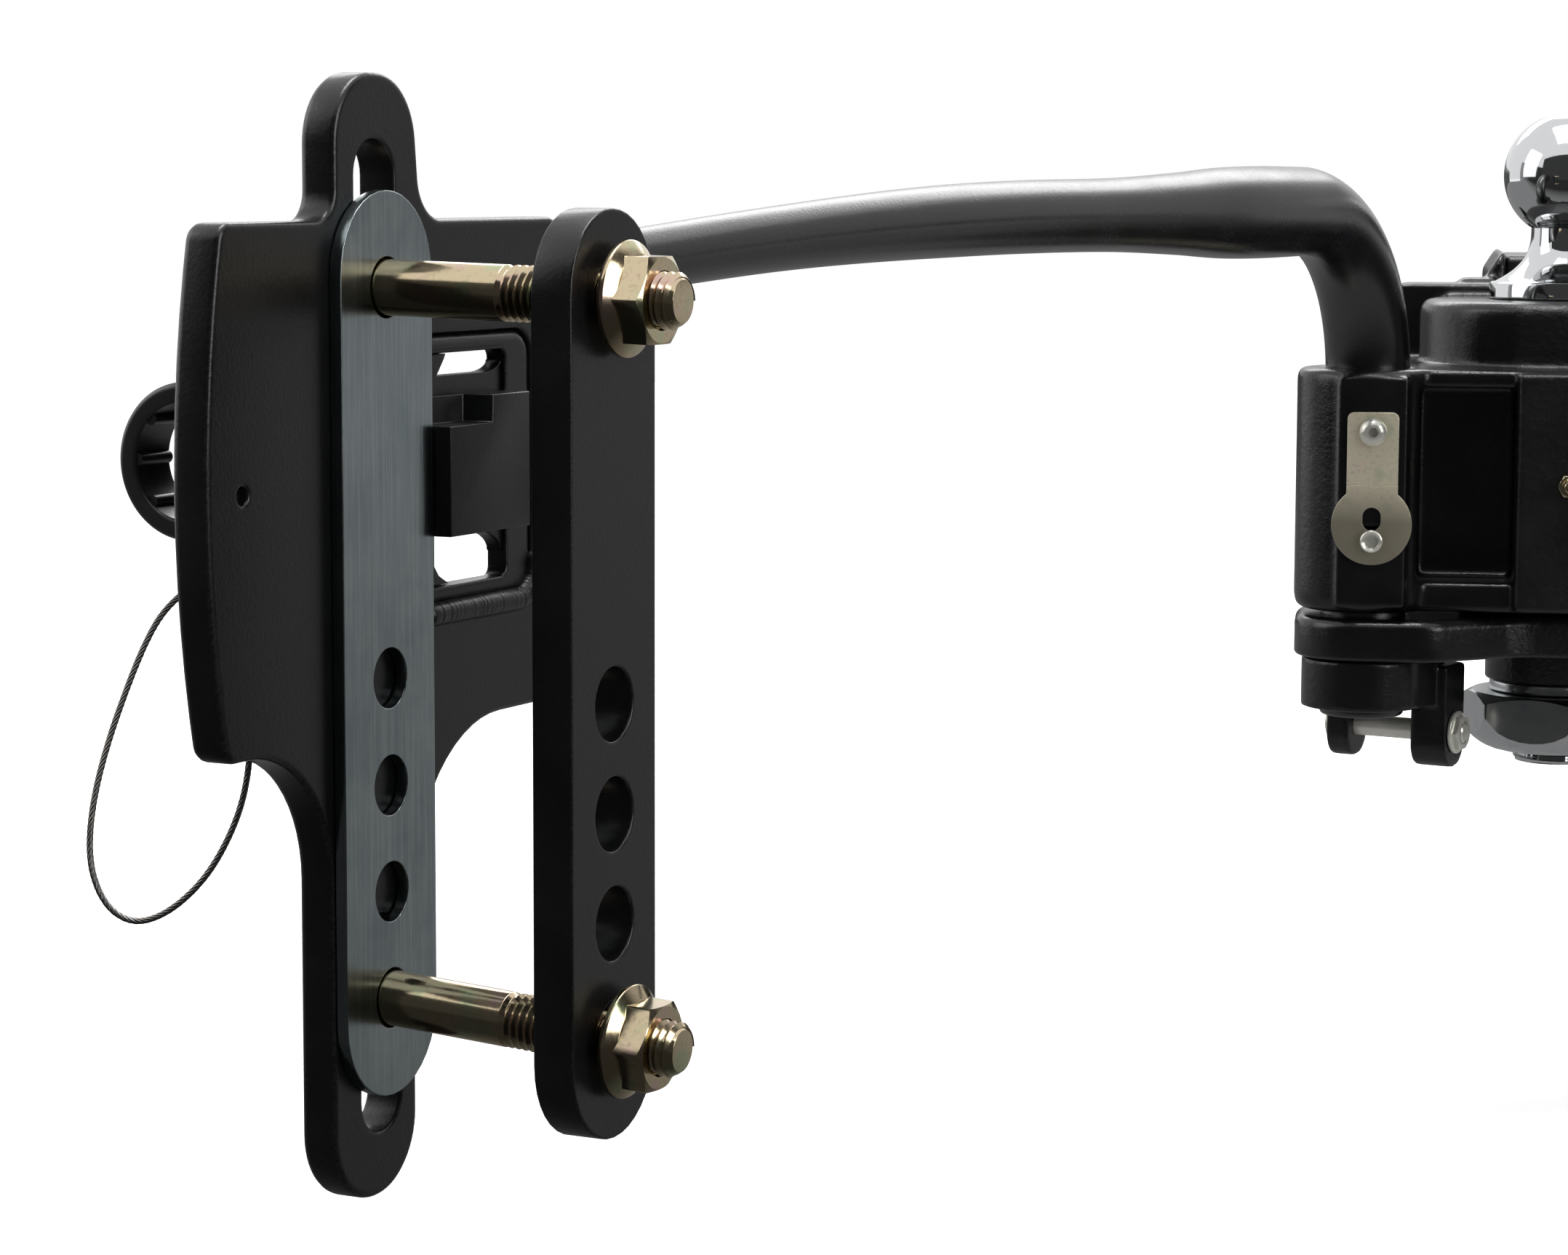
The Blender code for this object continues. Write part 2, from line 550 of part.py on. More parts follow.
def build_head():
    """One casting with both sockets, the ball platform, pockets and cheeks."""
    top = -HEAD_TOP_DROP
    low = -HEAD_BOTTOM_DROP
    body = add("head_body", block((-HEAD_HALF_WIDTH, -HEAD_REAR, low),
                                  (HEAD_HALF_WIDTH, HEAD_FRONT, top)), hitch, BLACK)

    def join(name, bm):
        combine(body, name, bm, "UNION")

    def cut(name, bm):
        combine(body, name, bm, "DIFFERENCE")

    deep = 0.010
    join("platform", turned([(PLATFORM_DIAMETER / 2 - 0.004, -BALL_SEAT_DROP),
                             (PLATFORM_DIAMETER / 2, -BALL_SEAT_DROP - 0.005),
                             (PLATFORM_DIAMETER / 2, top - 0.004)], LARGE_ROUND))
    wall_rear = max(HEAD_FRONT - 0.004, BALL_FLANGE / 2 + SEAM)
    join("wall", block((-WALL_WIDTH / 2, wall_rear, low + 0.002),
                       (WALL_WIDTH / 2, HEAD_FRONT + WALL_THICKNESS, -WALL_TOP_DROP)))
    join("foot", turned([(FOOT_DIAMETER / 2, low + deep),
                         (FOOT_DIAMETER / 2, -LOWER_PLATE_TOP_DROP + SEAM)], LARGE_ROUND))
    join("column", block((-COLUMN_WIDTH / 2, -HEAD_REAR - COLUMN_PROUD, low + 0.001),
                         (COLUMN_WIDTH / 2, -HEAD_REAR + deep, top - 0.001)))
    for side in (LEFT, RIGHT):
        name = SIDE_NAMES[side]
        place = Matrix.Translation((side * SOCKET_OFFSET, -SOCKET_SETBACK, 0))
        barrel = turned([(SOCKET_DIAMETER / 2, top + SOCKET_PROUD),
                         (SOCKET_DIAMETER / 2, low - SOCKET_PROUD)], LARGE_ROUND)
        join(f"socket_{name}", moved(barrel, place))
        latch = place @ Matrix.Translation((-side * LATCH_OFFSET, 0, 0))
        pad = block((-LATCH_PAD_WIDTH / 2, -LATCH_FACE, low + LATCH_PAD_MARGIN),
                    (LATCH_PAD_WIDTH / 2, -LATCH_FACE / 2, top - LATCH_PAD_MARGIN))
        join(f"latch_pad_{name}", moved(pad, latch))
        inner = side * CHEEK_FACE
        outer = side * (CHEEK_FACE + CHEEK_THICKNESS)
        rear = HEAD_FRONT + WALL_THICKNESS
        outline = rounded([(rear - deep, low + 0.006, 0), (rear + CHEEK_DEPTH, low + 0.006, 0.012),
                           (rear + CHEEK_DEPTH, -CHEEK_TOP_DROP, 0.012),
                           (rear - deep, -CHEEK_TOP_DROP, 0.008)])
        join(f"cheek_{name}", slab(outline, [], min(inner, outer), max(inner, outer), "X"))
    hole = bore(BALL_SHANK / 2, SEAM, LARGE_ROUND)
    reach = 2 * HEAD_HEIGHT
    room = SHANK_SIDE / 2 + SEAM / 2
    cut("shank_room", block((-room, UPRIGHT_REAR - SEAM / 2, low - deep), (room, SHANK_REACH, 0)))
    cut("ball_bore", turned([(hole, -reach - BALL_SEAT_DROP), (hole, 0)], LARGE_ROUND))
    for side in (LEFT, RIGHT):
        name = SIDE_NAMES[side]
        place = Matrix.Translation((side * SOCKET_OFFSET, -SOCKET_SETBACK, 0))
        hole = bore(TRUNNION / 2, TURN_GAP, LARGE_ROUND)
        through = turned([(hole, -reach - HEAD_TOP_DROP), (hole, 0)], LARGE_ROUND)
        cut(f"socket_bore_{name}", moved(through, place))
        near = side * (COLUMN_WIDTH / 2)
        far = side * (COLUMN_WIDTH / 2 + POCKET_WIDTH)
        high = top - POCKET_MARGIN
        cut(f"pocket_{name}", block((min(near, far), -HEAD_REAR - deep, high - POCKET_HEIGHT),
                                    (max(near, far), -HEAD_REAR + POCKET_DEPTH, high)))
        latch = place @ Matrix.Translation((-side * LATCH_OFFSET, 0, 0))
        slot = block((-LATCH_PIN, -2 * LATCH_FACE, -LATCH_PIN_DROP - 1.25 * LATCH_PIN),
                     (LATCH_PIN, 0, -LATCH_PIN_DROP + LATCH_PIN))
        cut(f"latch_slot_{name}", moved(slot, latch))
        screw = bore(LATCH_SCREW_STEM / 2, SEAM, ROUND)
        tap = moved(turned([(screw, -2 * LATCH_FACE), (screw, -0.6 * LATCH_FACE)], ROUND), along_y())
        lower = Matrix.Translation((0, 0, -LATCH_TOP_DROP - LATCH_SCREW_DOWN))
        cut(f"latch_tap_{name}", moved(tap, latch @ lower))
    hole = bore(SHANK_BOLT / 2, SEAM, ROUND)
    middle = UPRIGHT_REAR + UPRIGHT_DEPTH / 2
    for name, drop in zip(("upper", "lower"), SHANK_BOLT_DROPS):
        tool = moved(turned([(hole, -HEAD_HALF_WIDTH), (hole, HEAD_HALF_WIDTH)], ROUND), along_x())
        cut(f"shank_hole_{name}", moved(tool, Matrix.Translation((0, middle, -drop))))
    rear = -HEAD_REAR - COLUMN_PROUD
    hole = bore(GREASE_STEM / 2, SEAM, ROUND)
    tap = moved(turned([(hole, -deep), (hole, deep)], ROUND), along_y())
    cut("grease_tap", moved(tap, Matrix.Translation((0, rear, -GREASE_DROP))))
    fitting = turned([(GREASE_STEM / 2, 0.8 * deep), (GREASE_STEM / 2, -SEAM),
                      (GREASE_HEX / 2, -SEAM), (GREASE_HEX / 2, -0.4 * GREASE_LENGTH),
                      (GREASE_STEM / 2, -0.5 * GREASE_LENGTH), (GREASE_STEM / 2, -GREASE_LENGTH)], ROUND)
    add("grease_fitting", moved(fitting, along_y()), hitch, ZINC, (0, rear, -GREASE_DROP))


def build_lower_plate():
    """Plate under the head, round the ball's shank and both bars."""
    end = LOWER_PLATE_END / 2
    wide = SOCKET_OFFSET + end
    rear = -SOCKET_SETBACK - end
    waist = -LOWER_PLATE_WAIST
    outline = rounded([(-wide, rear, end * 0.98), (-SOCKET_OFFSET + end, rear, 0.020),
                       (-BALL_SHANK / 2, waist, 0.030), (BALL_SHANK / 2, waist, 0.030),
                       (SOCKET_OFFSET - end, rear, 0.020), (wide, rear, end * 0.98),
                       (wide, -SOCKET_SETBACK + end, end * 0.98),
                       (LOWER_PLATE_MIDDLE / 2, LOWER_PLATE_MIDDLE / 2, 0.030),
                       (-LOWER_PLATE_MIDDLE / 2, LOWER_PLATE_MIDDLE / 2, 0.030),
                       (-wide, -SOCKET_SETBACK + end, end * 0.98)], 10)
    hole = bore(TRUNNION / 2, TURN_GAP, LARGE_ROUND)
    holes = [circle(hole, LARGE_ROUND, (side * SOCKET_OFFSET, -SOCKET_SETBACK)) for side in (LEFT, RIGHT)]
    hole = bore(BALL_SHANK / 2, SEAM, LARGE_ROUND)
    holes.append(circle(hole, LARGE_ROUND))
    plate = add("lower_plate", slab(outline, holes, -LOWER_PLATE_BOTTOM_DROP, -LOWER_PLATE_TOP_DROP, "Z"),
                hitch, BLACK)
    boss = slab(circle(LOWER_BOSS / 2, LARGE_ROUND), [circle(hole + SEAM, LARGE_ROUND)],
                -BOSS_BOTTOM_DROP, -LOWER_PLATE_BOTTOM_DROP + 0.002, "Z")
    combine(plate, "boss", boss, "UNION")


def bar_height(distance):
    """Height of the bar's axis at a distance from its socket: level, then drooping."""
    if distance <= BAR_DROOP_START:
        return -BAR_LEVEL_DROP
    span = BAR_DROOP_END - BAR_DROOP_START
    inside = min(distance, BAR_DROOP_END) - BAR_DROOP_START
    past = max(distance - BAR_DROOP_END, 0.0)
    return -BAR_LEVEL_DROP - BAR_SLOPE * inside ** 2 / (2 * span) - BAR_SLOPE * past


def build_bar(side, pivot):
    """Round bar: trunnion, bend, taper and straight tail, drawn in its upright plane."""
    groove = TRUNNION / 2 - GROOVE_DEPTH
    middle = -LATCH_PIN_DROP - 0.25 * GROOVE_WIDTH
    low = -CLAMP_BOTTOM_DROP - 0.004
    stations = [(0.0, low, 0.0, TRUNNION / 2 - 0.002), (0.0, low + 0.002, 0.0, TRUNNION / 2),
                (0.0, middle - GROOVE_WIDTH / 2, 0.0, TRUNNION / 2),
                (0.0, middle - GROOVE_WIDTH / 2, 0.0, groove),
                (0.0, middle + GROOVE_WIDTH / 2, 0.0, groove),
                (0.0, middle + GROOVE_WIDTH / 2, 0.0, TRUNNION / 2)]
    bend_low = -BAR_LEVEL_DROP - BAR_BEND
    for k in range(9):
        angle = math.pi / 2 * k / 8
        radius = TRUNNION / 2 + (BAR_TAPER[0][1] - TRUNNION) / 2 * k / 8
        stations.append((BAR_BEND * (1 - math.cos(angle)), bend_low + BAR_BEND * math.sin(angle),
                         angle, radius))
    end = BAR_REACH + BAR_TAIL
    places = list(BAR_TAPER[1:]) + [(BAR_REACH - 0.090, TAIL_DIAMETER),
                                    (end - 0.003, TAIL_DIAMETER), (end, TAIL_DIAMETER - 0.006)]
    for distance, diameter in places:
        rise = (bar_height(distance + 0.001) - bar_height(distance - 0.001)) / 0.002
        stations.append((distance, bar_height(distance), math.pi / 2 - math.atan(rise), diameter / 2))
    rings = []
    for x, z, lean, radius in stations:
        across = Vector((math.cos(lean), 0, -math.sin(lean)))
        rings.append([Vector((x, 0, z)) + across * a + Vector((0, b, 0))
                      for a, b in circle(radius, LARGE_ROUND)])
    add(f"spring_bar_{SIDE_NAMES[side]}", loft(rings), pivot, BLACK, side=side)


def build_clamp(side, pivot):
    """Strap round the bar's lower end, with two ears and a pinch bolt."""
    name = SIDE_NAMES[side]
    outer = CLAMP_DIAMETER / 2
    inner = bore(TRUNNION / 2, SEAM, LARGE_ROUND)
    arm_end = -CLAMP_ARM_REACH + CLAMP_EAR_WIDTH - 0.008
    outline = []
    for radius, direction in ((outer, 1), (inner, -1)):
        arc = [(radius * math.cos(math.pi * (k / 16 - 0.5)), radius * math.sin(math.pi * (k / 16 - 0.5)))
               for k in range(17)]
        line = [(arm_end, -radius)] + arc + [(arm_end, radius)]
        outline += line[::direction]
    piece = add(f"friction_clamp_{name}", slab(outline, [], -CLAMP_BOTTOM_DROP, -CLAMP_TOP_DROP, "Z"),
                pivot, BLACK, side=side)
    bolt_x = -CLAMP_ARM_REACH + CLAMP_EAR_WIDTH / 2
    bolt_z = -CLAMP_BOTTOM_DROP - PINCH_DROP
    for k, (near, far, drop) in enumerate(CLAMP_EARS):
        ear_end = -CLAMP_BOTTOM_DROP - drop
        ear = rounded([(-CLAMP_ARM_REACH + 0.0003, -CLAMP_TOP_DROP - 0.004, 0),
                       (-CLAMP_ARM_REACH + 0.0003, ear_end, CLAMP_EAR_WIDTH * 0.45),
                       (-CLAMP_ARM_REACH + CLAMP_EAR_WIDTH, ear_end, CLAMP_EAR_WIDTH * 0.45),
                       (-CLAMP_ARM_REACH + CLAMP_EAR_WIDTH, -CLAMP_TOP_DROP - 0.004, 0)])
        hole = circle(bore(PINCH_BOLT / 2, SEAM, ROUND), ROUND, (bolt_x, bolt_z))
        combine(piece, f"ear_{k}", slab(ear, [hole], min(near, far), max(near, far), "Y"), "UNION", side)
    seat = CLAMP_EARS[0][1] - SEAM
    reach = CLAMP_EARS[1][1] + SEAM
    bolt = turned([(0.35 * PINCH_FLANGE, seat - 0.003), (0.45 * PINCH_FLANGE, seat - 0.001),
                   (0.45 * PINCH_FLANGE, seat), (PINCH_BOLT / 2, seat),
                   (PINCH_BOLT / 2, reach + PINCH_HEAD + 0.0005)], ROUND)
    add(f"pinch_bolt_{name}", moved(bolt, along_y()), pivot, ZINC, (bolt_x, 0, bolt_z), side)
    hole = bore(PINCH_BOLT / 2, SEAM, ROUND)
    nut = turned([(PINCH_FLANGE / 2, reach), (PINCH_FLANGE / 2, reach + 0.002),
                  (hexagon(PINCH_HEX), reach + 0.002), (hexagon(PINCH_HEX), reach + PINCH_HEAD),
                  (hole, reach + PINCH_HEAD), (hole, reach)], ROUND, closed=True)
    add(f"pinch_nut_{name}", moved(nut, along_y()), pivot, ZINC, (bolt_x, 0, bolt_z), side)


def build_latch(side, socket):
    """Leaf held by a screw; below its bend a disc carries the pin that holds the bar."""
    name = SIDE_NAMES[side]
    face = -LATCH_FACE - SEAM
    front = face - LATCH_THICKNESS
    top = -LATCH_TOP_DROP
    bend = -LATCH_BEND_DROP
    half = LATCH_WIDTH / 2
    screw_z = top - LATCH_SCREW_DOWN
    outline = rounded([(-half, bend + SEAM, 0), (half, bend + SEAM, 0), (half, top, 0.003),
                       (-half, top, 0.003)])
    hole = circle(bore(LATCH_SCREW_STEM / 2, SEAM, ROUND), ROUND, (0, screw_z))
    add(f"latch_leaf_{name}", slab(outline, [hole], front, face, "Y"), socket, LEAF)
    screw = turned([(LATCH_SCREW / 2 - 0.002, front - SEAM - LATCH_SCREW_HEAD),
                    (LATCH_SCREW / 2, front - SEAM - 0.4 * LATCH_SCREW_HEAD), (LATCH_SCREW / 2, front - SEAM),
                    (LATCH_SCREW_STEM / 2, front - SEAM), (LATCH_SCREW_STEM / 2, -0.7 * LATCH_FACE)], ROUND)
    add(f"latch_screw_{name}", moved(screw, along_y()), socket, PLATED, (0, 0, screw_z))
    hinge = empty(f"latch_hinge_{name}", socket, (0, front, bend))
    radius = LATCH_DISC / 2
    drop = math.sqrt(radius ** 2 - half ** 2)
    first = math.asin(drop / radius)
    middle = -LATCH_NECK - drop
    arc = [(radius * math.cos(first - (math.pi + 2 * first) * k / 28),
            middle + radius * math.sin(first - (math.pi + 2 * first) * k / 28)) for k in range(29)]
    arc = [(half, 0)] + arc + [(-half, 0)]
    foot = -LATCH_PIN_DOWN + LATCH_SLOT_FOOT
    slot = stadium(LATCH_SLOT_WIDTH / 2, foot, foot + LATCH_SLOT_HEIGHT)
    hole = circle(bore(LATCH_PIN / 2, SEAM, ROUND), ROUND, (0, -LATCH_PIN_DOWN))
    add(f"latch_disc_{name}", slab(arc, [slot, hole], 0, LATCH_THICKNESS, "Y"), hinge, LEAF)
    tip = LATCH_THICKNESS + SEAM + LATCH_FACE - TRUNNION / 2 + GROOVE_DEPTH * 0.7
    pin = turned([(LATCH_PIN_HEAD / 2, -SEAM - 0.003), (LATCH_PIN_HEAD / 2, -SEAM),
                  (LATCH_PIN / 2, -SEAM), (LATCH_PIN / 2, tip)], ROUND)
    add(f"latch_pin_{name}", moved(pin, along_y()), hinge, PLATED, (0, 0, -LATCH_PIN_DOWN))


def build_plate(side, bracket):
    """Frame bracket plate with two slotted ears, a window and its welded collar."""
    name = SIDE_NAMES[side]
    half = EAR_WIDTH / 2
    end = half * 0.98
    top = -PLATE_TOP_DROP
    low = -PLATE_BOTTOM_DROP
    rear_low = -PLATE_REAR_BOTTOM_DROP
    leg_end = (LEG_REAR + LEG_FRONT) / 2 * 0.98
    bow = []
    for k in range(1, 8):
        share = k / 8
        bow.append((-PLATE_REAR - PLATE_BOW * 4 * share * (1 - share), rear_low + (top - rear_low) * share, 0))
    outline = rounded([(-half, top, EAR_FILLET_REAR), (-half, EAR_TOP_RISE, end), (half, EAR_TOP_RISE, end),
                       (half + EAR_FLARE, top, EAR_FILLET), (PLATE_FRONT, top, PLATE_CORNER),
                       (PLATE_FRONT, low, PLATE_CORNER), (LEG_FRONT, low, LEG_FILLET_FRONT),
                       (LEG_FRONT, -LEG_BOTTOM_DROP, leg_end), (-LEG_REAR, -LEG_BOTTOM_DROP, leg_end),
                       (-LEG_REAR, rear_low, LEG_FILLET_REAR), (-PLATE_REAR, rear_low, PLATE_CORNER)]
                      + bow + [(-PLATE_REAR, top, PLATE_CORNER)], 8)
    slot_top = EAR_TOP_RISE - EAR_SLOT_MARGIN
    slot_low = -LEG_BOTTOM_DROP + EAR_SLOT_MARGIN
    wall = COLLAR_WALL + SEAM
    holes = [stadium(EAR_SLOT_WIDTH / 2, slot_top - EAR_SLOT_LENGTH, slot_top),
             stadium(EAR_SLOT_WIDTH / 2, slot_low, slot_low + EAR_SLOT_LENGTH),
             window(wall, WINDOW_CORNER + wall, COLLAR_FRONT_WALL + SEAM),
             circle(bore(LOCK_PIN / 2, LOCK_PIN_GAP, ROUND), ROUND, (LOCK_PIN_AT, -LOCK_PIN_DROP)),
             circle(bore(ANCHOR_SCREW / 2, SEAM, ROUND), ROUND, (ANCHOR_AT, -ANCHOR_DROP))]
    add(f"bracket_plate_{name}", slab(outline, holes, PLATE_FACE, PLATE_BACK, "Y"), bracket, BLACK, side=side)
    collar = slab(window(COLLAR_WALL, WINDOW_CORNER + COLLAR_WALL, COLLAR_FRONT_WALL),
                  [window(0, WINDOW_CORNER, 0)],
                  PLATE_FACE, PLATE_FACE + COLLAR_DEPTH, "Y")
    add(f"window_collar_{name}", collar, bracket, BLACK, side=side)


def window(grow, corner, front_grow):
    """Outline of the plate's window, grown on every side."""
    rear = WINDOW_REAR - grow
    front = WINDOW_FRONT + front_grow
    top = -WINDOW_TOP_DROP + grow
    low = -WINDOW_BOTTOM_DROP - grow
    return rounded([(rear, low, corner), (front, low, corner), (front, top, corner), (rear, top, corner)], 5)


def build_frame_clamp(side, bracket):
    """Strip, clamp bar and the two bolts that squeeze the trailer's frame between them."""
    name = SIDE_NAMES[side]
    strip_low = -STRIP_TOP_DROP - STRIP_LENGTH
    drops = BOLT_DROPS + FREE_HOLE_DROPS
    holes = [circle(STRIP_HOLE / 2, ROUND, (0, -drop)) for drop in drops]
    strip = slab(stadium(STRIP_WIDTH / 2, strip_low, -STRIP_TOP_DROP, 9), holes, 0, STRIP_THICKNESS, "Y")
    add(f"spacer_strip_{name}", strip, bracket, STEEL, side=side)
    leans = [math.tan(math.radians(tilt)) for tilt in BOLT_TILTS]
    reach = FRAME_GAP + CLAMP_BAR_THICKNESS / 2
    drops = [drop + lean * reach for drop, lean in zip(BOLT_DROPS, leans)]
    drops += [drop + FREE_HOLE_SAG for drop in FREE_HOLE_DROPS]
    holes = [circle(CLAMP_BAR_HOLE / 2, ROUND, (0, -drop)) for drop in drops]
    outline = stadium(CLAMP_BAR_WIDTH / 2, strip_low - CLAMP_BAR_SAG, -STRIP_TOP_DROP - CLAMP_BAR_SAG, 9)
    bar = slab(outline, holes, -FRAME_GAP - CLAMP_BAR_THICKNESS, -FRAME_GAP, "Y")
    add(f"clamp_bar_{name}", bar, bracket, BLACK, side=side)
    face = -FRAME_GAP - CLAMP_BAR_THICKNESS - NUT_GAP
    nut_end = face - NUT_HEIGHT
    for level, drop, tilt, lean in zip(("upper", "lower"), BOLT_DROPS, BOLT_TILTS, leans):
        seat = PLATE_BACK + lean * BOLT_HEAD_DIAMETER + SEAM
        head = BOLT_HEAD_DIAMETER / 2
        end = nut_end - BOLT_PAST_NUT
        bolt = turned([(CLAMP_BOLT / 2, seat + BOLT_HEAD), (head, seat + 0.4 * BOLT_HEAD), (head, seat),
                       (CLAMP_BOLT / 2, seat), (CLAMP_BOLT / 2, end + 0.0015),
                       (CLAMP_BOLT / 2 - 0.0015, end)], ROUND)
        turn = Matrix.Rotation(math.radians(tilt), 4, "X") @ along_y()
        add(f"clamp_bolt_{level}_{name}", moved(bolt, turn), bracket, ZINC, (0, 0, -drop), side)
        hole = bore(CLAMP_BOLT / 2, SEAM, ROUND)
        nut = turned([(NUT_FLANGE / 2, face), (NUT_FLANGE / 2, face - NUT_FLANGE_THICKNESS / 2),
                      (hexagon(NUT_HEX), face - NUT_FLANGE_THICKNESS), (hexagon(NUT_HEX), nut_end),
                      (hole, nut_end), (hole, face)], ROUND, closed=True)
        add(f"flange_nut_{level}_{name}", moved(nut, turn), bracket, ZINC, (0, 0, -drop), side)


def bar_at(along):
    """Bar axis in the bracket's frame: how far outward, and its height."""
    toe = math.tan(math.radians(BAR_YAW - PLATE_YAW))
    return BAR_TO_STRIP - along * toe, bar_height(BAR_REACH - along)


def build_hanger(side, bracket):
    """Forging with a tongue through the window and a shelf under the bar."""
    name = SIDE_NAMES[side]
    rear = WINDOW_REAR + TONGUE_SIDE_GAP
    front = WINDOW_FRONT - TONGUE_SIDE_GAP
    rings = []
    pad_rings = []
    for along in (rear, front):
        out, height = bar_at(along)
        pad_top = height - TAIL_DIAMETER / 2 - SEAM
        shelf = pad_top - PAD_THICKNESS - SEAM
        low = -TONGUE_BOTTOM_DROP
        lip = HANGER_OUTER - HANGER_LIP
        lip_top = shelf + HANGER_LIP_RISE
        rings.append([(along, -TONGUE_PROUD, low), (along, HANGER_OUTER - HANGER_CHAMFER, low),
                      (along, HANGER_OUTER, low + HANGER_CHAMFER), (along, HANGER_OUTER, lip_top),
                      (along, lip, lip_top), (along, lip, shelf), (along, HANGER_BACK, shelf),
                      (along, HANGER_BACK, -TONGUE_TOP_DROP), (along, -TONGUE_PROUD, -TONGUE_TOP_DROP)])
        near = out - PAD_WIDTH / 2
        far = out + PAD_WIDTH / 2
        pad_rings.append([(along, near, pad_top), (along, far, pad_top),
                          (along, far, pad_top - PAD_THICKNESS), (along, near, pad_top - PAD_THICKNESS)])
    hanger = add(f"bar_hanger_{name}", loft(rings), bracket, BLACK, side=side, smooth=False)
    notch = block((rear - 0.005, -2 * TONGUE_PROUD, -TONGUE_TOP_DROP - NOTCH_HEIGHT),
                  (rear + NOTCH_WIDTH, -TONGUE_PROUD + NOTCH_DEPTH, -TONGUE_TOP_DROP + 0.005))
    combine(hanger, "notch", notch, "DIFFERENCE", side)
    wing_face = max(PLATE_BACK, PLATE_FACE + COLLAR_DEPTH) + SEAM
    wing = rounded([(rear + 0.006, -LOCK_PIN_DROP - WING_HEIGHT / 2, 0),
                    (rear + 0.006, -LOCK_PIN_DROP + WING_HEIGHT / 2, 0),
                    (LOCK_PIN_AT - WING_HEIGHT / 2, -LOCK_PIN_DROP + WING_HEIGHT / 2, WING_HEIGHT * 0.49),
                    (LOCK_PIN_AT - WING_HEIGHT / 2, -LOCK_PIN_DROP - WING_HEIGHT / 2, WING_HEIGHT * 0.49)])
    hole = circle(bore(LOCK_PIN / 2, LOCK_PIN_GAP, ROUND), ROUND, (LOCK_PIN_AT, -LOCK_PIN_DROP))
    web_back = PLATE_FACE + COLLAR_DEPTH - 0.0002
    web = slab([(along, -drop) for along, drop in HANGER_WEB], [], HANGER_WEB_FACE, web_back, "Y")
    combine(hanger, "web", web, "UNION", side)
    combine(hanger, "wing", slab(wing, [hole], wing_face, wing_face + WING_THICKNESS, "Y"), "UNION", side)
    add(f"wear_pad_{name}", loft(pad_rings), bracket, NYLON, side=side, smooth=False)


def build_lock_pin(side, bracket):
    """Pin through the hanger's wing into the plate, with a ribbed pull ring."""
    name = SIDE_NAMES[side]
    axis = empty(f"lock_pin_axis_{name}", bracket, (LOCK_PIN_AT, 0, -LOCK_PIN_DROP))
    ring_edge = PULL_RING_AT - PULL_RING / 2
    pin = turned([(LOCK_PIN / 2 - 0.001, PLATE_FACE + SEAM), (LOCK_PIN / 2, PLATE_FACE + SEAM + 0.001),
                  (LOCK_PIN / 2, ring_edge - SEAM)], ROUND)
    add(f"lock_pin_{name}", moved(pin, along_y()), axis, PLATED, side=side)
    outer = PULL_RING / 2
    inner = PULL_RING_BORE / 2
    outline = circle(outer, LARGE_ROUND)
    hole = []
    for k in range(RIB_COUNT):
        middle = math.tau * (k + 0.5) / RIB_COUNT
        half = RIB_WIDTH / 2 / inner
        step = math.tau / RIB_COUNT - 2 * half
        for turn, radius in ((-half, inner), (-half, inner - RIB_HEIGHT), (half, inner - RIB_HEIGHT),
                             (half, inner), (half + step / 2, inner)):
            hole.append((radius * math.cos(middle + turn), radius * math.sin(middle + turn)))
    ring = slab(outline, [hole], -PULL_RING_LENGTH / 2, PULL_RING_LENGTH / 2, "X")
    add(f"pull_ring_{name}", ring, axis, NYLON, (0, PULL_RING_AT, 0), side)
    top = -outer - SEAM
    ferrule = turned([(FERRULE / 2, top), (FERRULE / 2, top - FERRULE_LENGTH)], 12)
    add(f"lanyard_ferrule_{name}", ferrule, axis, PLATED, (0, PULL_RING_AT, 0), side)


def smooth_route(points, step):
    """Even points on a smooth curve through the route's own points."""
    knots = [Vector(point) for point in points]
    knots = [knots[0] * 2 - knots[1]] + knots + [knots[-1] * 2 - knots[-2]]
    fine = []
    for a, b, c, d in zip(knots, knots[1:], knots[2:], knots[3:]):
        for k in range(40):
            t = k / 40
            fine.append(0.5 * (2 * b + (c - a) * t + (2 * a - 5 * b + 4 * c - d) * t ** 2
                               + (3 * b - a - 3 * c + d) * t ** 3))
    fine.append(knots[-2])
    length = sum((q - p).length for p, q in zip(fine, fine[1:]))
    count = max(round(length / step), 2)
    even = [fine[0]]
    walked = 0.0
    for p, q in zip(fine, fine[1:]):
        walked += (q - p).length
        if walked >= length * len(even) / count and len(even) < count:
            even.append(q)
    even.append(fine[-1])
    return even, length


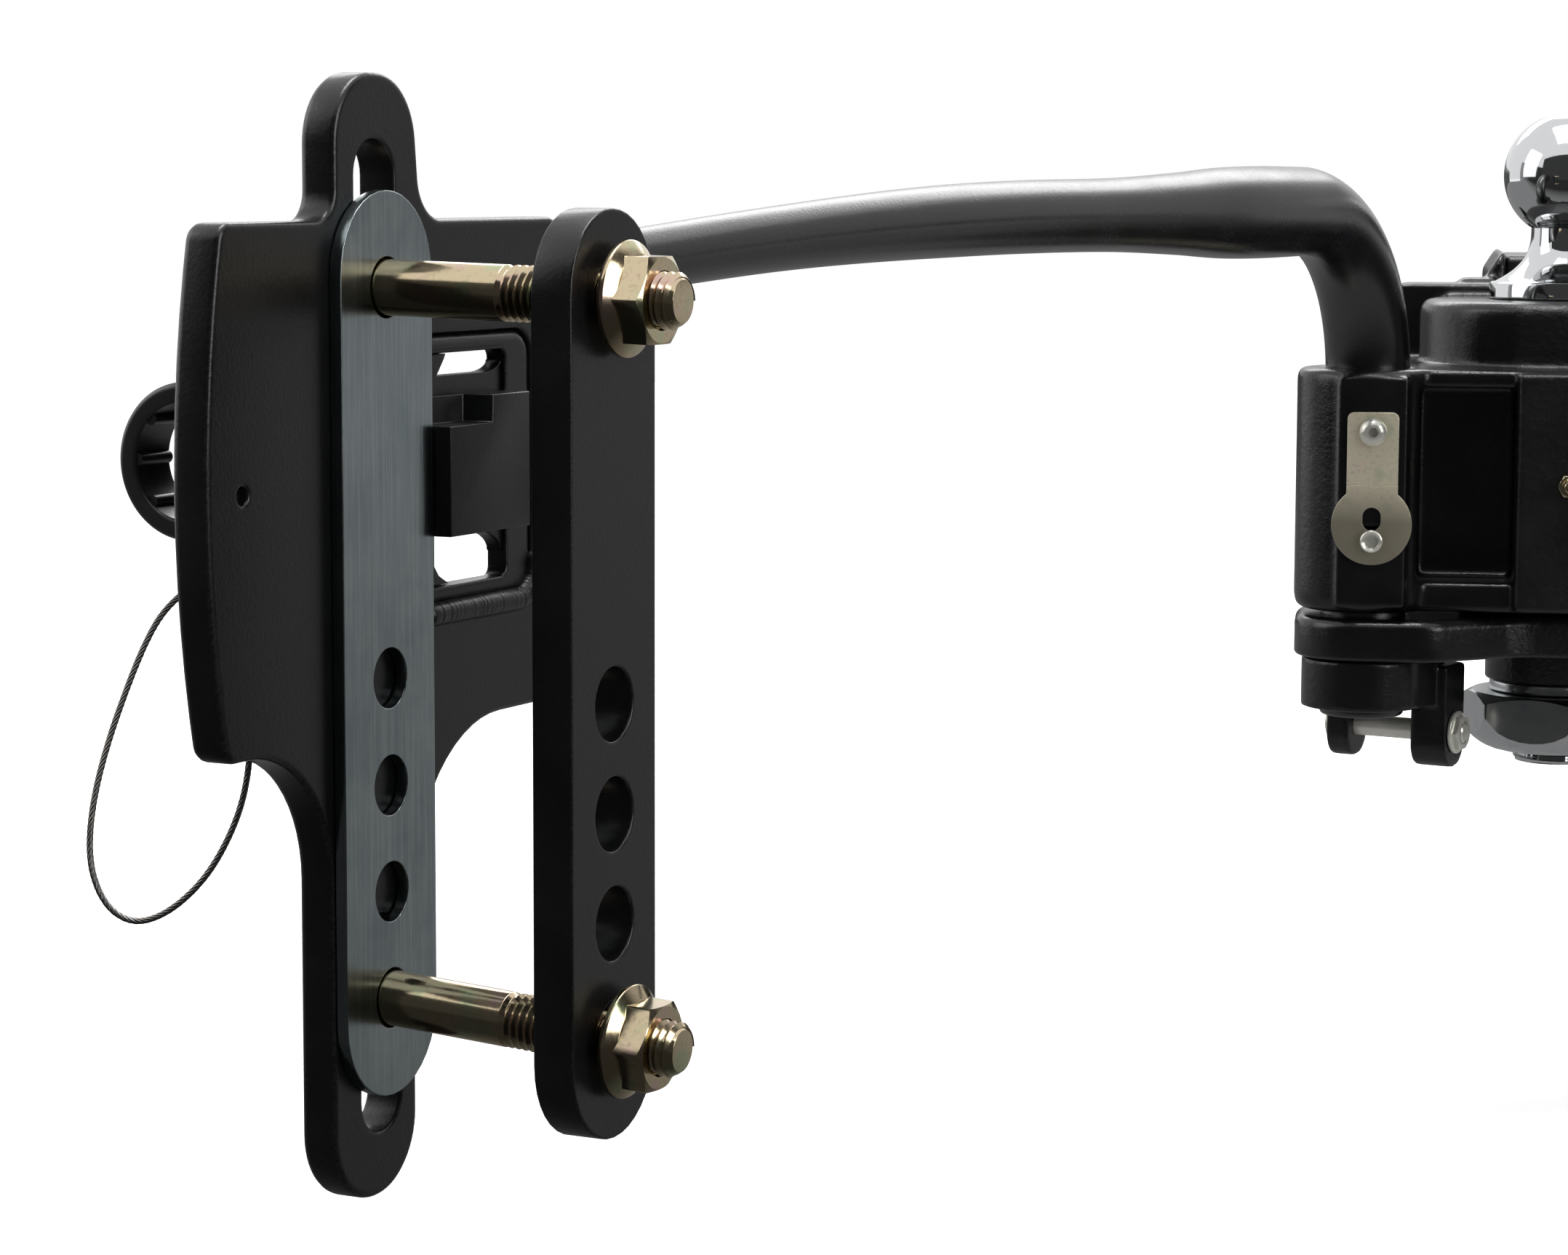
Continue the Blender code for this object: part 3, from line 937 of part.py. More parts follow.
def build_lanyard(side, bracket):
    """Wire rope from the pull ring to a screw in the plate."""
    name = SIDE_NAMES[side]
    outward = 1 if side == LEFT else -1
    points, length = smooth_route([(x, outward * y, -drop) for x, y, drop in LANYARD_ROUTE], LANYARD_STEP)
    print(f"lanyard_{name} length {length:.4f}")
    curve = bpy.data.curves.new(f"lanyard_{name}", "CURVE")
    curve.dimensions = "3D"
    curve.bevel_depth = LANYARD / 2
    curve.bevel_resolution = 2
    curve.use_fill_caps = True
    spline = curve.splines.new("POLY")
    spline.points.add(len(points) - 1)
    for target, point in zip(spline.points, points):
        target.co = (*point, 1.0)
    rope = bpy.data.objects.new(f"lanyard_{name}", curve)
    bpy.context.scene.collection.objects.link(rope)
    rope.parent = bracket
    curve.materials.append(ROPE)
    head = PLATE_BACK + SEAM
    screw = turned([(ANCHOR_SCREW / 2, PLATE_FACE + 0.004), (ANCHOR_SCREW / 2, head),
                    (ANCHOR_HEAD / 2, head), (ANCHOR_HEAD / 2, head + ANCHOR_HEAD_THICKNESS)], ROUND)
    add(f"lanyard_screw_{name}", moved(screw, along_y()), bracket, PLATED, (ANCHOR_AT, 0, -ANCHOR_DROP), side)


def build_side(side):
    """All pieces of one side, hung on the axes that they move about."""
    name = SIDE_NAMES[side]
    socket = empty(f"socket_{name}", hitch, (side * SOCKET_OFFSET, -SOCKET_SETBACK, 0))
    latch = empty(f"latch_{name}", socket, (-side * LATCH_OFFSET, 0, 0))
    aft = math.radians(-90 + side * BAR_YAW)
    pivot = empty(f"bar_pivot_{name}", socket, turn=aft)
    build_bar(side, pivot)
    build_clamp(side, pivot)
    build_latch(side, latch)
    toe = math.radians(180 - side * (BAR_YAW - PLATE_YAW))
    inward = Matrix.Rotation(toe, 3, "Z") @ Vector((0, side * BAR_TO_STRIP, 0))
    bracket = empty(f"bracket_{name}", pivot, Vector((BAR_REACH, 0, 0)) + inward, toe)
    build_plate(side, bracket)
    build_frame_clamp(side, bracket)
    build_hanger(side, bracket)
    build_lock_pin(side, bracket)
    build_lanyard(side, bracket)


build_shank()
build_ball()
build_head()
build_lower_plate()
build_side(LEFT)
build_side(RIGHT)
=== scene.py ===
# %% [markdown]
# A weight distribution hitch carries part of a trailer's weight forward through two spring bars.
# Its pieces are castings, plates, bolts and a little wire rope, so this lesson is about metal:
# how an edge is rounded, how paint, zinc and chrome differ, and how threads and strands repeat.
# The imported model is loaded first, because every piece made below takes the place of one of its solids.

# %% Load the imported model
import math

import bmesh
import bpy
from mathutils import Matrix, Vector


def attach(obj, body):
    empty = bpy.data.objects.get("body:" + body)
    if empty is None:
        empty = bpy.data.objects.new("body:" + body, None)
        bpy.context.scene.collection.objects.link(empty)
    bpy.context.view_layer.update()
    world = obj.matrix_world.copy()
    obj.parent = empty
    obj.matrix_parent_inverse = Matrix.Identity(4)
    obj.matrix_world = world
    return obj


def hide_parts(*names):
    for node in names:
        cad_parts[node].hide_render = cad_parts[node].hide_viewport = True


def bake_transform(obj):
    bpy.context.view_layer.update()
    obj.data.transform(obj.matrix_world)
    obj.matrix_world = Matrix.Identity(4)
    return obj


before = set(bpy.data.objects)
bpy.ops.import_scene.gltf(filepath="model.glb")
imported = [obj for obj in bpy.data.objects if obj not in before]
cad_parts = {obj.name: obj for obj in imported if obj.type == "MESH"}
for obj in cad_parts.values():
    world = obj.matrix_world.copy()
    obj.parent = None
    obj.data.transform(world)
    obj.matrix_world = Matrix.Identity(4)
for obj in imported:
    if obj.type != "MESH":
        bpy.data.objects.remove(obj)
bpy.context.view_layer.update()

# %% [markdown]
# The hitch has one centre, the middle of the tow ball, and both sides hang from it. Each side has a
# frame for the socket, one that turns with the bar and one for the bracket. Pieces are drawn once,
# for the left side, in these frames. The right side is the same drawing mirrored across its own y.

# %% Frames of the two sides
BALL = Vector((0.0, -0.33, 0.15))
SOCKET_OUT = 0.091
SOCKET_AFT = 0.07
LATCH_IN = 0.0029
BORE = 0.0196
BAR_YAW = math.radians(23.6)
PLATE_YAW = math.radians(18.4)
BAR_REACH = 0.796
PLATE_INWARD = 0.045
SIDES = {"left": -1, "right": 1}
HEAD_PLACE = Matrix.Translation(BALL)


def socket_place(side):
    """Socket axis, upright, with the ball's height as zero."""
    return HEAD_PLACE @ Matrix.Translation((side * SOCKET_OUT, -SOCKET_AFT, 0.0))


def hand(side):
    """Mirror for the right side, nothing for the left."""
    return Matrix.Scale(-1, 4, (0, 1, 0)) if side > 0 else Matrix.Identity(4)


def bar_axis(side):
    """Socket frame turned until x runs aft along the bar."""
    return socket_place(side) @ Matrix.Rotation(-math.pi / 2 + side * BAR_YAW, 4, "Z")


def bar_place(side):
    """The bar's axis for pieces drawn for the left side."""
    return bar_axis(side) @ hand(side)


def bracket_place(side):
    """x runs to the head, y outward; zero height is the ball's centre."""
    toe = math.pi - side * (BAR_YAW - PLATE_YAW)
    turn = Matrix.Rotation(toe, 4, "Z")
    inward = turn @ Vector((0.0, side * PLATE_INWARD, 0.0))
    return bar_axis(side) @ Matrix.Translation(Vector((BAR_REACH, 0, 0)) + inward) @ turn @ hand(side)


def brackets():
    """Each side's name, with the body and the place of its bracket."""
    return [(name, f"bracket_{name}", bracket_place(side)) for name, side in SIDES.items()]


print("left bracket at", [round(v, 4) for v in bracket_place(-1).translation])

# %% [markdown]
# The camera stands behind the trailer's left frame rail and looks forward past the bracket at the
# head. Its lens and turn were fitted to points of known size, so the drawing and the view agree.


# %% Camera
def put(name, data):
    """New object in the scene."""
    made = bpy.data.objects.new(name, data)
    bpy.context.scene.collection.objects.link(made)
    return made


view = bpy.data.cameras.new("view")
view.lens = 91.244
view.sensor_width = 36.0
view.sensor_fit = "HORIZONTAL"
camera = put("camera", view)
camera.matrix_world = (Matrix.Translation((-0.0929, -2.2446, 0.1529))
                       @ Matrix.Rotation(math.radians(8.281), 4, "Z")
                       @ Matrix.Rotation(math.radians(90 - 6.613), 4, "X")
                       @ Matrix.Rotation(math.radians(0.187), 4, "Z"))
bpy.context.scene.camera = camera
print("camera lens", view.lens)

# %% [markdown]
# A finish is a small network of nodes. Writing it as sums keeps it readable: a wire stands for a
# node's output, and adding or multiplying wires adds the Math node that does it. Every other node
# comes from one function, which sets the node's own settings first and its sockets after that.


# %% Wires and finishes
def feed(tree, socket, value):
    """Joins a wire or an output to a socket, or sets the socket's own value."""
    source = value.socket if isinstance(value, Wire) else value
    if isinstance(source, bpy.types.NodeSocket):
        tree.links.new(source, socket)
    else:
        socket.default_value = source


def add_node(tree, kind, settings=None, inputs=None):
    made = tree.nodes.new(kind)
    for label, value in (settings or {}).items():
        setattr(made, label, value)
    for label, value in (inputs or {}).items():
        feed(tree, made.inputs[label], value)
    return made


class Wire:
    """A node's output that can be added, multiplied and compared like a number."""

    def __init__(self, tree, socket):
        self.tree = tree
        self.socket = socket

    def sum(self, operation, first, second):
        node = add_node(self.tree, "ShaderNodeMath", {"operation": operation}, {0: first, 1: second})
        return Wire(self.tree, node.outputs[0])

    def __add__(self, other):
        return self.sum("ADD", self, other)

    def __sub__(self, other):
        return self.sum("SUBTRACT", self, other)

    def __rsub__(self, other):
        return self.sum("SUBTRACT", other, self)

    def __mul__(self, other):
        return self.sum("MULTIPLY", self, other)

    def __pow__(self, other):
        return self.sum("POWER", self, other)

    def above(self, low, high):
        """0 below low, 1 above high, straight between."""
        return self.sum("MINIMUM", self.sum("MAXIMUM", (self - low) * (1 / (high - low)), 0.0), 1.0)


class Finish:
    """A material whose nodes are added by name."""

    def __init__(self, name, **settings):
        self.material = bpy.data.materials.new(name)
        self.material.use_nodes = True
        self.tree = self.material.node_tree
        self.shader = self.tree.nodes["Principled BSDF"]
        for label, value in settings.items():
            self.set(label.replace("_", " "), value)
        self.place = self.node("TexCoord", output="Object")

    def set(self, label, value):
        """Feeds one of the shader's inputs."""
        feed(self.tree, self.shader.inputs[label], value)

    def node(self, kind, settings=None, inputs=None, output=0):
        return Wire(self.tree, add_node(self.tree, "ShaderNode" + kind, settings, inputs).outputs[output])

    def ramp(self, share, stops):
        """Colour picked along a row of (place, colour) stops."""
        made = add_node(self.tree, "ShaderNodeValToRGB", None, {0: share})
        elements = made.color_ramp.elements
        while len(elements) < len(stops):
            elements.new(0.5)
        for stop, (spot, colour) in zip(elements, stops):
            stop.position = spot
            stop.color = (*colour, 1.0)
        return Wire(self.tree, made.outputs[0])

    def stretched(self, scale):
        """Object coordinates stretched along the axes."""
        return self.node("Mapping", None, {"Vector": self.place, "Scale": scale})

    def grain(self, scale, detail=2.0, rough=0.5, place=None):
        """Noise from 0 to 1, centred near a half."""
        return self.node("TexNoise", None, {"Vector": place or self.place, "Scale": scale,
                                            "Detail": detail, "Roughness": rough}, "Fac")

    def blend(self, share, first, second):
        """Colour between two colours."""
        def full(colour):
            return colour if isinstance(colour, Wire) else (*colour, 1.0)
        return self.node("Mix", {"data_type": "RGBA"}, {0: share, 6: full(first), 7: full(second)}, 2)

    def rim(self):
        """1 on the rounded edges of a piece that marks them, 0 elsewhere."""
        return self.node("Attribute", {"attribute_name": "rim"}, None, "Fac")

    def wear(self, colour=None, roughness=None, height=None, depth=0.0002):
        """Joins colour, gloss and relief to the shader."""
        for label, value in (("Base Color", colour), ("Roughness", roughness)):
            if value is not None:
                self.set(label, value)
        if height is not None:
            bump = self.node("Bump", None, {"Height": height, "Distance": depth, "Strength": 1.0})
            self.set("Normal", bump)
        print("finish", self.material.name, len(self.tree.nodes), "nodes")
        return self.material


# %% [markdown]
# Black powder coat is baked plastic. It is nearly black, satin, and shows a fine orange peel where the
# powder flowed. Along its rounded edges it is polished a little, and a lighter colour is painted there
# as a highlight. The casting under the head's coat is rougher, because sand leaves its grain in the
# iron, so that finish gets a second, coarser relief. It is deepest near the centre line, on the head's
# middle rib.

# %% Black coats
def powder_coat(name, peel, sand, gloss, shine=0.5):
    coat = Finish(name, Specular_IOR_Level=shine)
    cloud = coat.grain(38.0, 3.0)
    fine = coat.grain(820.0, 2.0)
    dust = coat.grain(2600.0, 1.0).above(0.7, 0.78)
    rim = coat.rim()
    colour = coat.blend(cloud.above(0.3, 0.7), (0.003, 0.0031, 0.0036), (0.0055, 0.0057, 0.0064))
    # Painted highlight: a lighter colour along the marked edge rounds, broken up by noise.
    colour = coat.blend(rim * fine.above(0.42, 0.7) * 0.12, colour, (0.045, 0.045, 0.047))
    colour = coat.blend(dust * 0.1, colour, (0.06, 0.06, 0.06))
    roughness = cloud * 0.12 + fine * 0.1 + gloss - rim * 0.05
    height = fine * peel
    if sand:
        across = coat.node("SeparateXYZ", None, {0: coat.place})
        rib = 1.0 - across.sum("ABSOLUTE", across, 0.0).above(0.021, 0.026)
        height = height + coat.grain(260.0, 5.0, 0.62) * (rib * sand + 0.4 * sand)
        roughness = roughness + rib * 0.12
    return coat.wear(colour, roughness, height, 0.0003)


black_paint = powder_coat("black_powder_coat", 0.2, 0.0, 0.22)
cast_paint = powder_coat("black_cast_coat", 0.25, 1.6, 0.12)
bar_paint = powder_coat("black_bar_coat", 0.18, 0.06, 0.14, 1.0)

# %% [markdown]
# Yellow zinc is a thin film over the plating. Its thickness changes over the surface, and thin films
# show colours: mostly straw, with pink and green clouds. A ramp over a soft noise gives those
# clouds, and a second noise breaks up the gloss. The latch's film also gets painted shade: its colour
# is painted darker lower down, over its disc.


# %% Plated and bare metals
def zinc_film(name, straw, pink, green, rough, speckle, metal=1.0, painted_shade_span=None):
    film = Finish(name, Metallic=metal)
    cloud = film.grain(95.0, 2.5, 0.55)
    tint = film.ramp(cloud, [(0.3, green), (0.46, straw), (0.58, straw), (0.72, pink)])
    spots = film.grain(640.0, 3.0)
    colour = film.blend(spots.above(0.56, 0.75) * speckle, tint, tuple(0.55 * v for v in straw))
    # Painted shade: below the given height span the colour turns darker, over the latch's disc.
    if painted_shade_span:
        level = film.node("SeparateXYZ", None, {0: film.place}, "Z")
        colour = film.blend(level.above(*painted_shade_span), tuple(0.36 * v for v in straw), colour)
    return film.wear(colour, spots * (0.3 * speckle) + rough, spots * (0.16 * speckle))


yellow_zinc = zinc_film("yellow_zinc", (0.64, 0.53, 0.35), (0.67, 0.48, 0.4), (0.52, 0.55, 0.34), 0.08,
                        0.45)
latch_steel = zinc_film("latch_straw_zinc", (0.86, 0.79, 0.6), (0.9, 0.76, 0.62), (0.64, 0.66, 0.48),
                        0.26, 0.5, 0.6, (-0.006, 0.012))
zinc_plate = zinc_film("bright_zinc", (0.6, 0.62, 0.63), (0.66, 0.66, 0.65), (0.52, 0.55, 0.56), 0.18, 0.12)
pale_zinc = zinc_film("pale_zinc", (0.62, 0.61, 0.55), (0.66, 0.64, 0.6), (0.55, 0.57, 0.5), 0.2, 0.12, 0.6)
rope_steel = zinc_film("wire_rope_steel", (0.3, 0.29, 0.28), (0.34, 0.31, 0.28), (0.24, 0.24, 0.24), 0.24,
                       0.2)


def chrome_finish():
    chrome = Finish("ball_chrome", Metallic=1.0)
    haze = chrome.grain(150.0, 4.0)
    return chrome.wear((0.64, 0.65, 0.66, 1.0), haze * 0.06 + 0.03, haze * 0.02)


def brushed_strip():
    strip = Finish("bare_rolled_strip", Metallic=1.0)
    streak = strip.grain(1.0, 4.0, 0.6, strip.stretched((900.0, 900.0, 26.0)))
    blotch = strip.grain(42.0, 4.0, 0.6)
    colour = strip.blend(blotch.above(0.32, 0.68), (0.24, 0.285, 0.295), (0.34, 0.385, 0.395))
    colour = strip.blend(streak.above(0.45, 0.75) * 0.5, colour, (0.5, 0.54, 0.54))
    return strip.wear(colour, blotch * 0.12 + streak * 0.08 + 0.13, streak * 0.2)


def moulded_black(name, base, rough):
    moulded = Finish(name, Specular_IOR_Level=0.42)
    fine = moulded.grain(1500.0, 2.0)
    cloud = moulded.grain(60.0, 2.0)
    colour = moulded.blend(cloud, tuple(0.8 * v for v in base), tuple(1.2 * v for v in base))
    return moulded.wear(colour, cloud * 0.1 + rough, fine * 0.15)


chrome = chrome_finish()
bare_steel = brushed_strip()
ring_plastic = moulded_black("moulded_ring", (0.02, 0.02, 0.021), 0.2)
pad_plastic = moulded_black("wear_pad_plastic", (0.045, 0.045, 0.047), 0.48)

# %% [markdown]
# A finished piece keeps its place in its mesh and its object at the origin, as the model's own solids
# do, so that patterns measured from the origin never slide. One helper does this for all pieces: it
# places the mesh, turns the faces round when the place is a mirror, and hides the solid it stands for.


# %% Finish a piece
def as_mesh(name, shape):
    if isinstance(shape, bpy.types.Mesh):
        return shape
    mesh = bpy.data.meshes.new(name)
    shape.to_mesh(mesh)
    shape.free()
    return mesh


def settled(made):
    """Plain mesh of an object with its modifiers done."""
    graph = bpy.context.evaluated_depsgraph_get()
    return bpy.data.meshes.new_from_object(made.evaluated_get(graph), depsgraph=graph)


def piece(name, shape, finish, body, place=Matrix.Identity(4), crease=35, node=None):
    """Placed piece that stands for the node of its own name, for a given node, or for none ("")."""
    mesh = as_mesh(name, shape)
    mesh.name = name
    mesh.transform(place)
    if place.determinant() < 0:
        mesh.flip_normals()
    mesh.materials.clear()
    mesh.materials.append(finish)
    mesh.shade_smooth()
    mesh.set_sharp_from_angle(angle=math.radians(crease))
    made = put(name, mesh)
    if body:
        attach(made, body)
    stands_for = name if node is None else node
    if stands_for:
        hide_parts(stands_for)
    print(name, len(mesh.polygons), "faces")
    return made


# %% [markdown]
# Strands, threads, welds and ribs repeat along a path, so Geometry Nodes make them. A tree gets named
# inputs for its sizes. Its host is a curve or an empty mesh, and the result is turned into a plain
# mesh at once, because the export keeps no modifiers or instances.


# %% Grow a mesh from a tree
class Grower:
    """A Geometry Nodes tree with named inputs."""

    def __init__(self, name, inputs, on_path=False):
        self.tree = bpy.data.node_groups.new(name, "GeometryNodeTree")
        face = self.tree.interface
        face.new_socket("Geometry", in_out="OUTPUT", socket_type="NodeSocketGeometry")
        if on_path:
            face.new_socket("Geometry", in_out="INPUT", socket_type="NodeSocketGeometry")
        self.keys = {}
        kinds = {float: "NodeSocketFloat", int: "NodeSocketInt"}
        for label, value in inputs.items():
            socket = face.new_socket(label, in_out="INPUT", socket_type=kinds[type(value)])
            socket.default_value = value
            self.keys[label] = socket.identifier
        socket = face.new_socket("Material", in_out="INPUT", socket_type="NodeSocketMaterial")
        self.keys["Material"] = socket.identifier
        self.start = self.tree.nodes.new("NodeGroupInput")
        self.end = self.tree.nodes.new("NodeGroupOutput")

    def node(self, kind, settings=None, inputs=None):
        return add_node(self.tree, kind if "Node" in kind else "GeometryNode" + kind, settings, inputs)

    def sum(self, operation, first, second=0.0):
        return self.node("ShaderNodeMath", {"operation": operation}, {0: first, 1: second}).outputs[0]

    def given(self, label):
        return self.start.outputs[label]

    def tube(self, curve, sides, label):
        """Closed skin of a many-sided section along a curve, its radius a named input."""
        section = self.node("CurvePrimitiveCircle", None, {"Resolution": sides,
                                                           "Radius": self.given(label)})
        skin = self.node("CurveToMesh", None,
                         {"Curve": curve, "Profile Curve": section.outputs[0], "Fill Caps": True})
        return skin.outputs[0]

    def finish(self, geometry):
        """Ends the tree in real, painted mesh."""
        real = self.node("RealizeInstances", None, {"Geometry": geometry})
        paint = self.node("SetMaterial", None,
                          {"Geometry": real.outputs[0], "Material": self.given("Material")})
        self.tree.links.new(paint.outputs[0], self.end.inputs[0])

    def grow(self, name, finish, path=None, **values):
        """Mesh of the tree along a path of points, or by itself."""
        if path:
            data = bpy.data.curves.new(name, "CURVE")
            data.dimensions = "3D"
            spline = data.splines.new("POLY")
            spline.points.add(len(path) - 1)
            for target, point in zip(spline.points, path):
                target.co = (*point, 1.0)
        else:
            data = bpy.data.meshes.new(name)
        host = put(name, data)
        step = host.modifiers.new("grow", "NODES")
        step.node_group = self.tree
        for label, value in values.items():
            step[self.keys[label]] = value
        step[self.keys["Material"]] = finish
        mesh = settled(host)
        bpy.data.objects.remove(host)
        print("grown", name, len(mesh.polygons), "faces")
        return mesh


# %% [markdown]
# The lock pin can't be lost, because a thin wire rope ties its pull ring to the plate. Such rope is a
# core with strands laid round it in a screw line. A single tube would look like a plain wire, so the
# tree copies the path once for each strand, moves each copy off the middle by an angle that grows with
# the length walked, and skins them all.


# %% Wire rope tree
def rope_tree():
    rope = Grower("rope_strands", {"Strands": 6, "Offset": 0.00064, "Strand Radius": 0.00034,
                                   "Core Radius": 0.00042, "Lay": 0.0105}, on_path=True)
    even = rope.node("ResampleCurve", {"mode": "LENGTH"},
                     {"Curve": rope.given("Geometry"), "Length": 0.0007})
    copies = rope.node("DuplicateElements", {"domain": "SPLINE"},
                       {"Geometry": even.outputs[0], "Amount": rope.given("Strands")})
    walked = rope.node("SplineParameter").outputs["Length"]
    first = rope.sum("DIVIDE", rope.sum("MULTIPLY", copies.outputs["Duplicate Index"], math.tau),
                     rope.given("Strands"))
    angle = rope.sum("ADD", first, rope.sum("MULTIPLY", rope.sum("DIVIDE", walked, rope.given("Lay")),
                                            math.tau))
    normal = rope.node("InputNormal").outputs[0]
    tangent = rope.node("InputTangent").outputs[0]
    across = rope.node("ShaderNodeVectorMath", {"operation": "CROSS_PRODUCT"},
                       {0: tangent, 1: normal}).outputs[0]

    def share(vector, turn):
        amount = rope.sum("MULTIPLY", rope.sum(turn, angle), rope.given("Offset"))
        return rope.node("ShaderNodeVectorMath", {"operation": "SCALE"},
                         {0: vector, "Scale": amount}).outputs[0]

    offset = rope.node("ShaderNodeVectorMath", {"operation": "ADD"},
                       {0: share(normal, "COSINE"), 1: share(across, "SINE")})
    laid = rope.node("SetPosition", None, {"Geometry": copies.outputs[0], "Offset": offset.outputs[0]})
    joined = rope.node("JoinGeometry")
    for line, label, sides in ((laid.outputs[0], "Strand Radius", 7), (even.outputs[0], "Core Radius", 6)):
        rope.tree.links.new(rope.tube(line, sides, label), joined.inputs[0])
    rope.finish(joined.outputs[0])
    return rope


wire_rope = rope_tree()

# %% [markdown]
# The rope leaves a crimped ferrule under the ring, hangs in a loop below the plate's edge and comes
# back up behind it to a screw. Both of its ends are held, so its whole length is what the loop shows.
# It crosses from the bracket to the lock pin, which slides.

# %% Wire ropes
ROPE_ROUTE = (
    (-0.0082, 0.0593, 0.1158), (-0.017, 0.069, 0.129), (-0.0305, 0.0728, 0.153),
    (-0.0418, 0.0734, 0.176), (-0.047, 0.0716, 0.194), (-0.0482, 0.0655, 0.206),
    (-0.0474, 0.0559, 0.2105), (-0.045, 0.0446, 0.206), (-0.0418, 0.0334, 0.194),
    (-0.039, 0.0252, 0.176), (-0.04, 0.0212, 0.156), (-0.046, 0.02, 0.133),
    (-0.056, 0.0202, 0.11), (-0.0612, 0.0202, 0.0972))


def smooth_route(points, count):
    """Even points on a smooth curve through the route's own points, and its length."""
    knots = [Vector((x, y, -drop)) for x, y, drop in points]
    knots = [knots[0] * 2 - knots[1]] + knots + [knots[-1] * 2 - knots[-2]]
    fine = []
    for a, b, c, d in zip(knots, knots[1:], knots[2:], knots[3:]):
        for k in range(40):
            t = k / 40
            fine.append(0.5 * (2 * b + (c - a) * t + (2 * a - 5 * b + 4 * c - d) * t ** 2
                               + (3 * b - a - 3 * c + d) * t ** 3))
    fine.append(knots[-2])
    length = sum((q - p).length for p, q in zip(fine, fine[1:]))
    even = [fine[0]]
    walked = 0.0
    for p, q in zip(fine, fine[1:]):
        walked += (q - p).length
        if walked >= length * len(even) / count and len(even) < count:
            even.append(q)
    return even + [fine[-1]], length


def lay_rope(name, side):
    place = bracket_place(side)
    points, length = smooth_route(ROPE_ROUTE, 120)
    path = [place @ point for point in points]
    mesh = wire_rope.grow(f"lanyard_rope_{name}", rope_steel, path)
    rope = piece(f"lanyard_rope_{name}", mesh, rope_steel, None, crease=80, node=f"lanyard_{name}")
    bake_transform(rope)
    print(f"rope {name} {length:.4f} m")


for name, side in SIDES.items():
    lay_rope(name, side)

# %% [markdown]
# Most of the hitch is cut from plate and bar, and what makes such a piece look real is its edge: it is
# never sharp, and it catches a thin line of light. So the outlines come first, then a slab whose faces
# meet its walls in a small quarter round. Those rounds are also marked, so that the black coats can
# polish them and paint a lighter highlight along them.


# %% Outlines
def circle(radius, count, centre=(0.0, 0.0)):
    step = math.tau / count
    return [(centre[0] + radius * math.cos(step * i), centre[1] + radius * math.sin(step * i))
            for i in range(count)]


def rounded(corners, steps=8):
    """Outline through corners (x, y, radius), each radius a tangent arc."""
    points = []
    for i, (x, y, radius) in enumerate(corners):
        here = Vector((x, y))
        if radius <= 0.0:
            points.append((x, y))
            continue
        before = (Vector(corners[i - 1][:2]) - here).normalized()
        after = (Vector(corners[(i + 1) % len(corners)][:2]) - here).normalized()
        half = before.angle(after) / 2
        centre = here + (before + after).normalized() * (radius / math.sin(half))
        start = here + before * (radius / math.tan(half)) - centre
        end = here + after * (radius / math.tan(half)) - centre
        sweep = start.angle_signed(end)
        for k in range(steps + 1):
            point = centre + Matrix.Rotation(-sweep * k / steps, 2) @ start
            points.append((point.x, point.y))
    return points


def arc(radius, first, last, steps, centre=(0.0, 0.0)):
    angles = [first + (last - first) * k / steps for k in range(steps + 1)]
    return [(centre[0] + radius * math.cos(a), centre[1] + radius * math.sin(a)) for a in angles]


def stadium(half_width, low, high):
    """Upright slot outline with round ends."""
    return (arc(half_width, 0.0, math.pi, 18, (0.0, high - half_width))
            + arc(half_width, math.pi, math.tau, 18, (0.0, low + half_width)))


def inset(loop, distance):
    """The loop moved to its left, into the metal, with mitred corners."""
    moved_loop = []
    for i, point in enumerate(loop):
        here = Vector(point)
        first = (here - Vector(loop[i - 1])).normalized()
        second = (Vector(loop[(i + 1) % len(loop)]) - here).normalized()
        sides = [Vector((-line.y, line.x)) for line in (first, second)]
        across = (sides[0] + sides[1]).normalized()
        moved_loop.append(here + across * (distance / max(across.dot(sides[0]), 0.5)))
    return moved_loop


def lay(axis, a, b, level):
    """Point of an outline at a level on an axis."""
    return {"X": (level, a, b), "Y": (a, level, b), "Z": (a, b, level)}[axis]


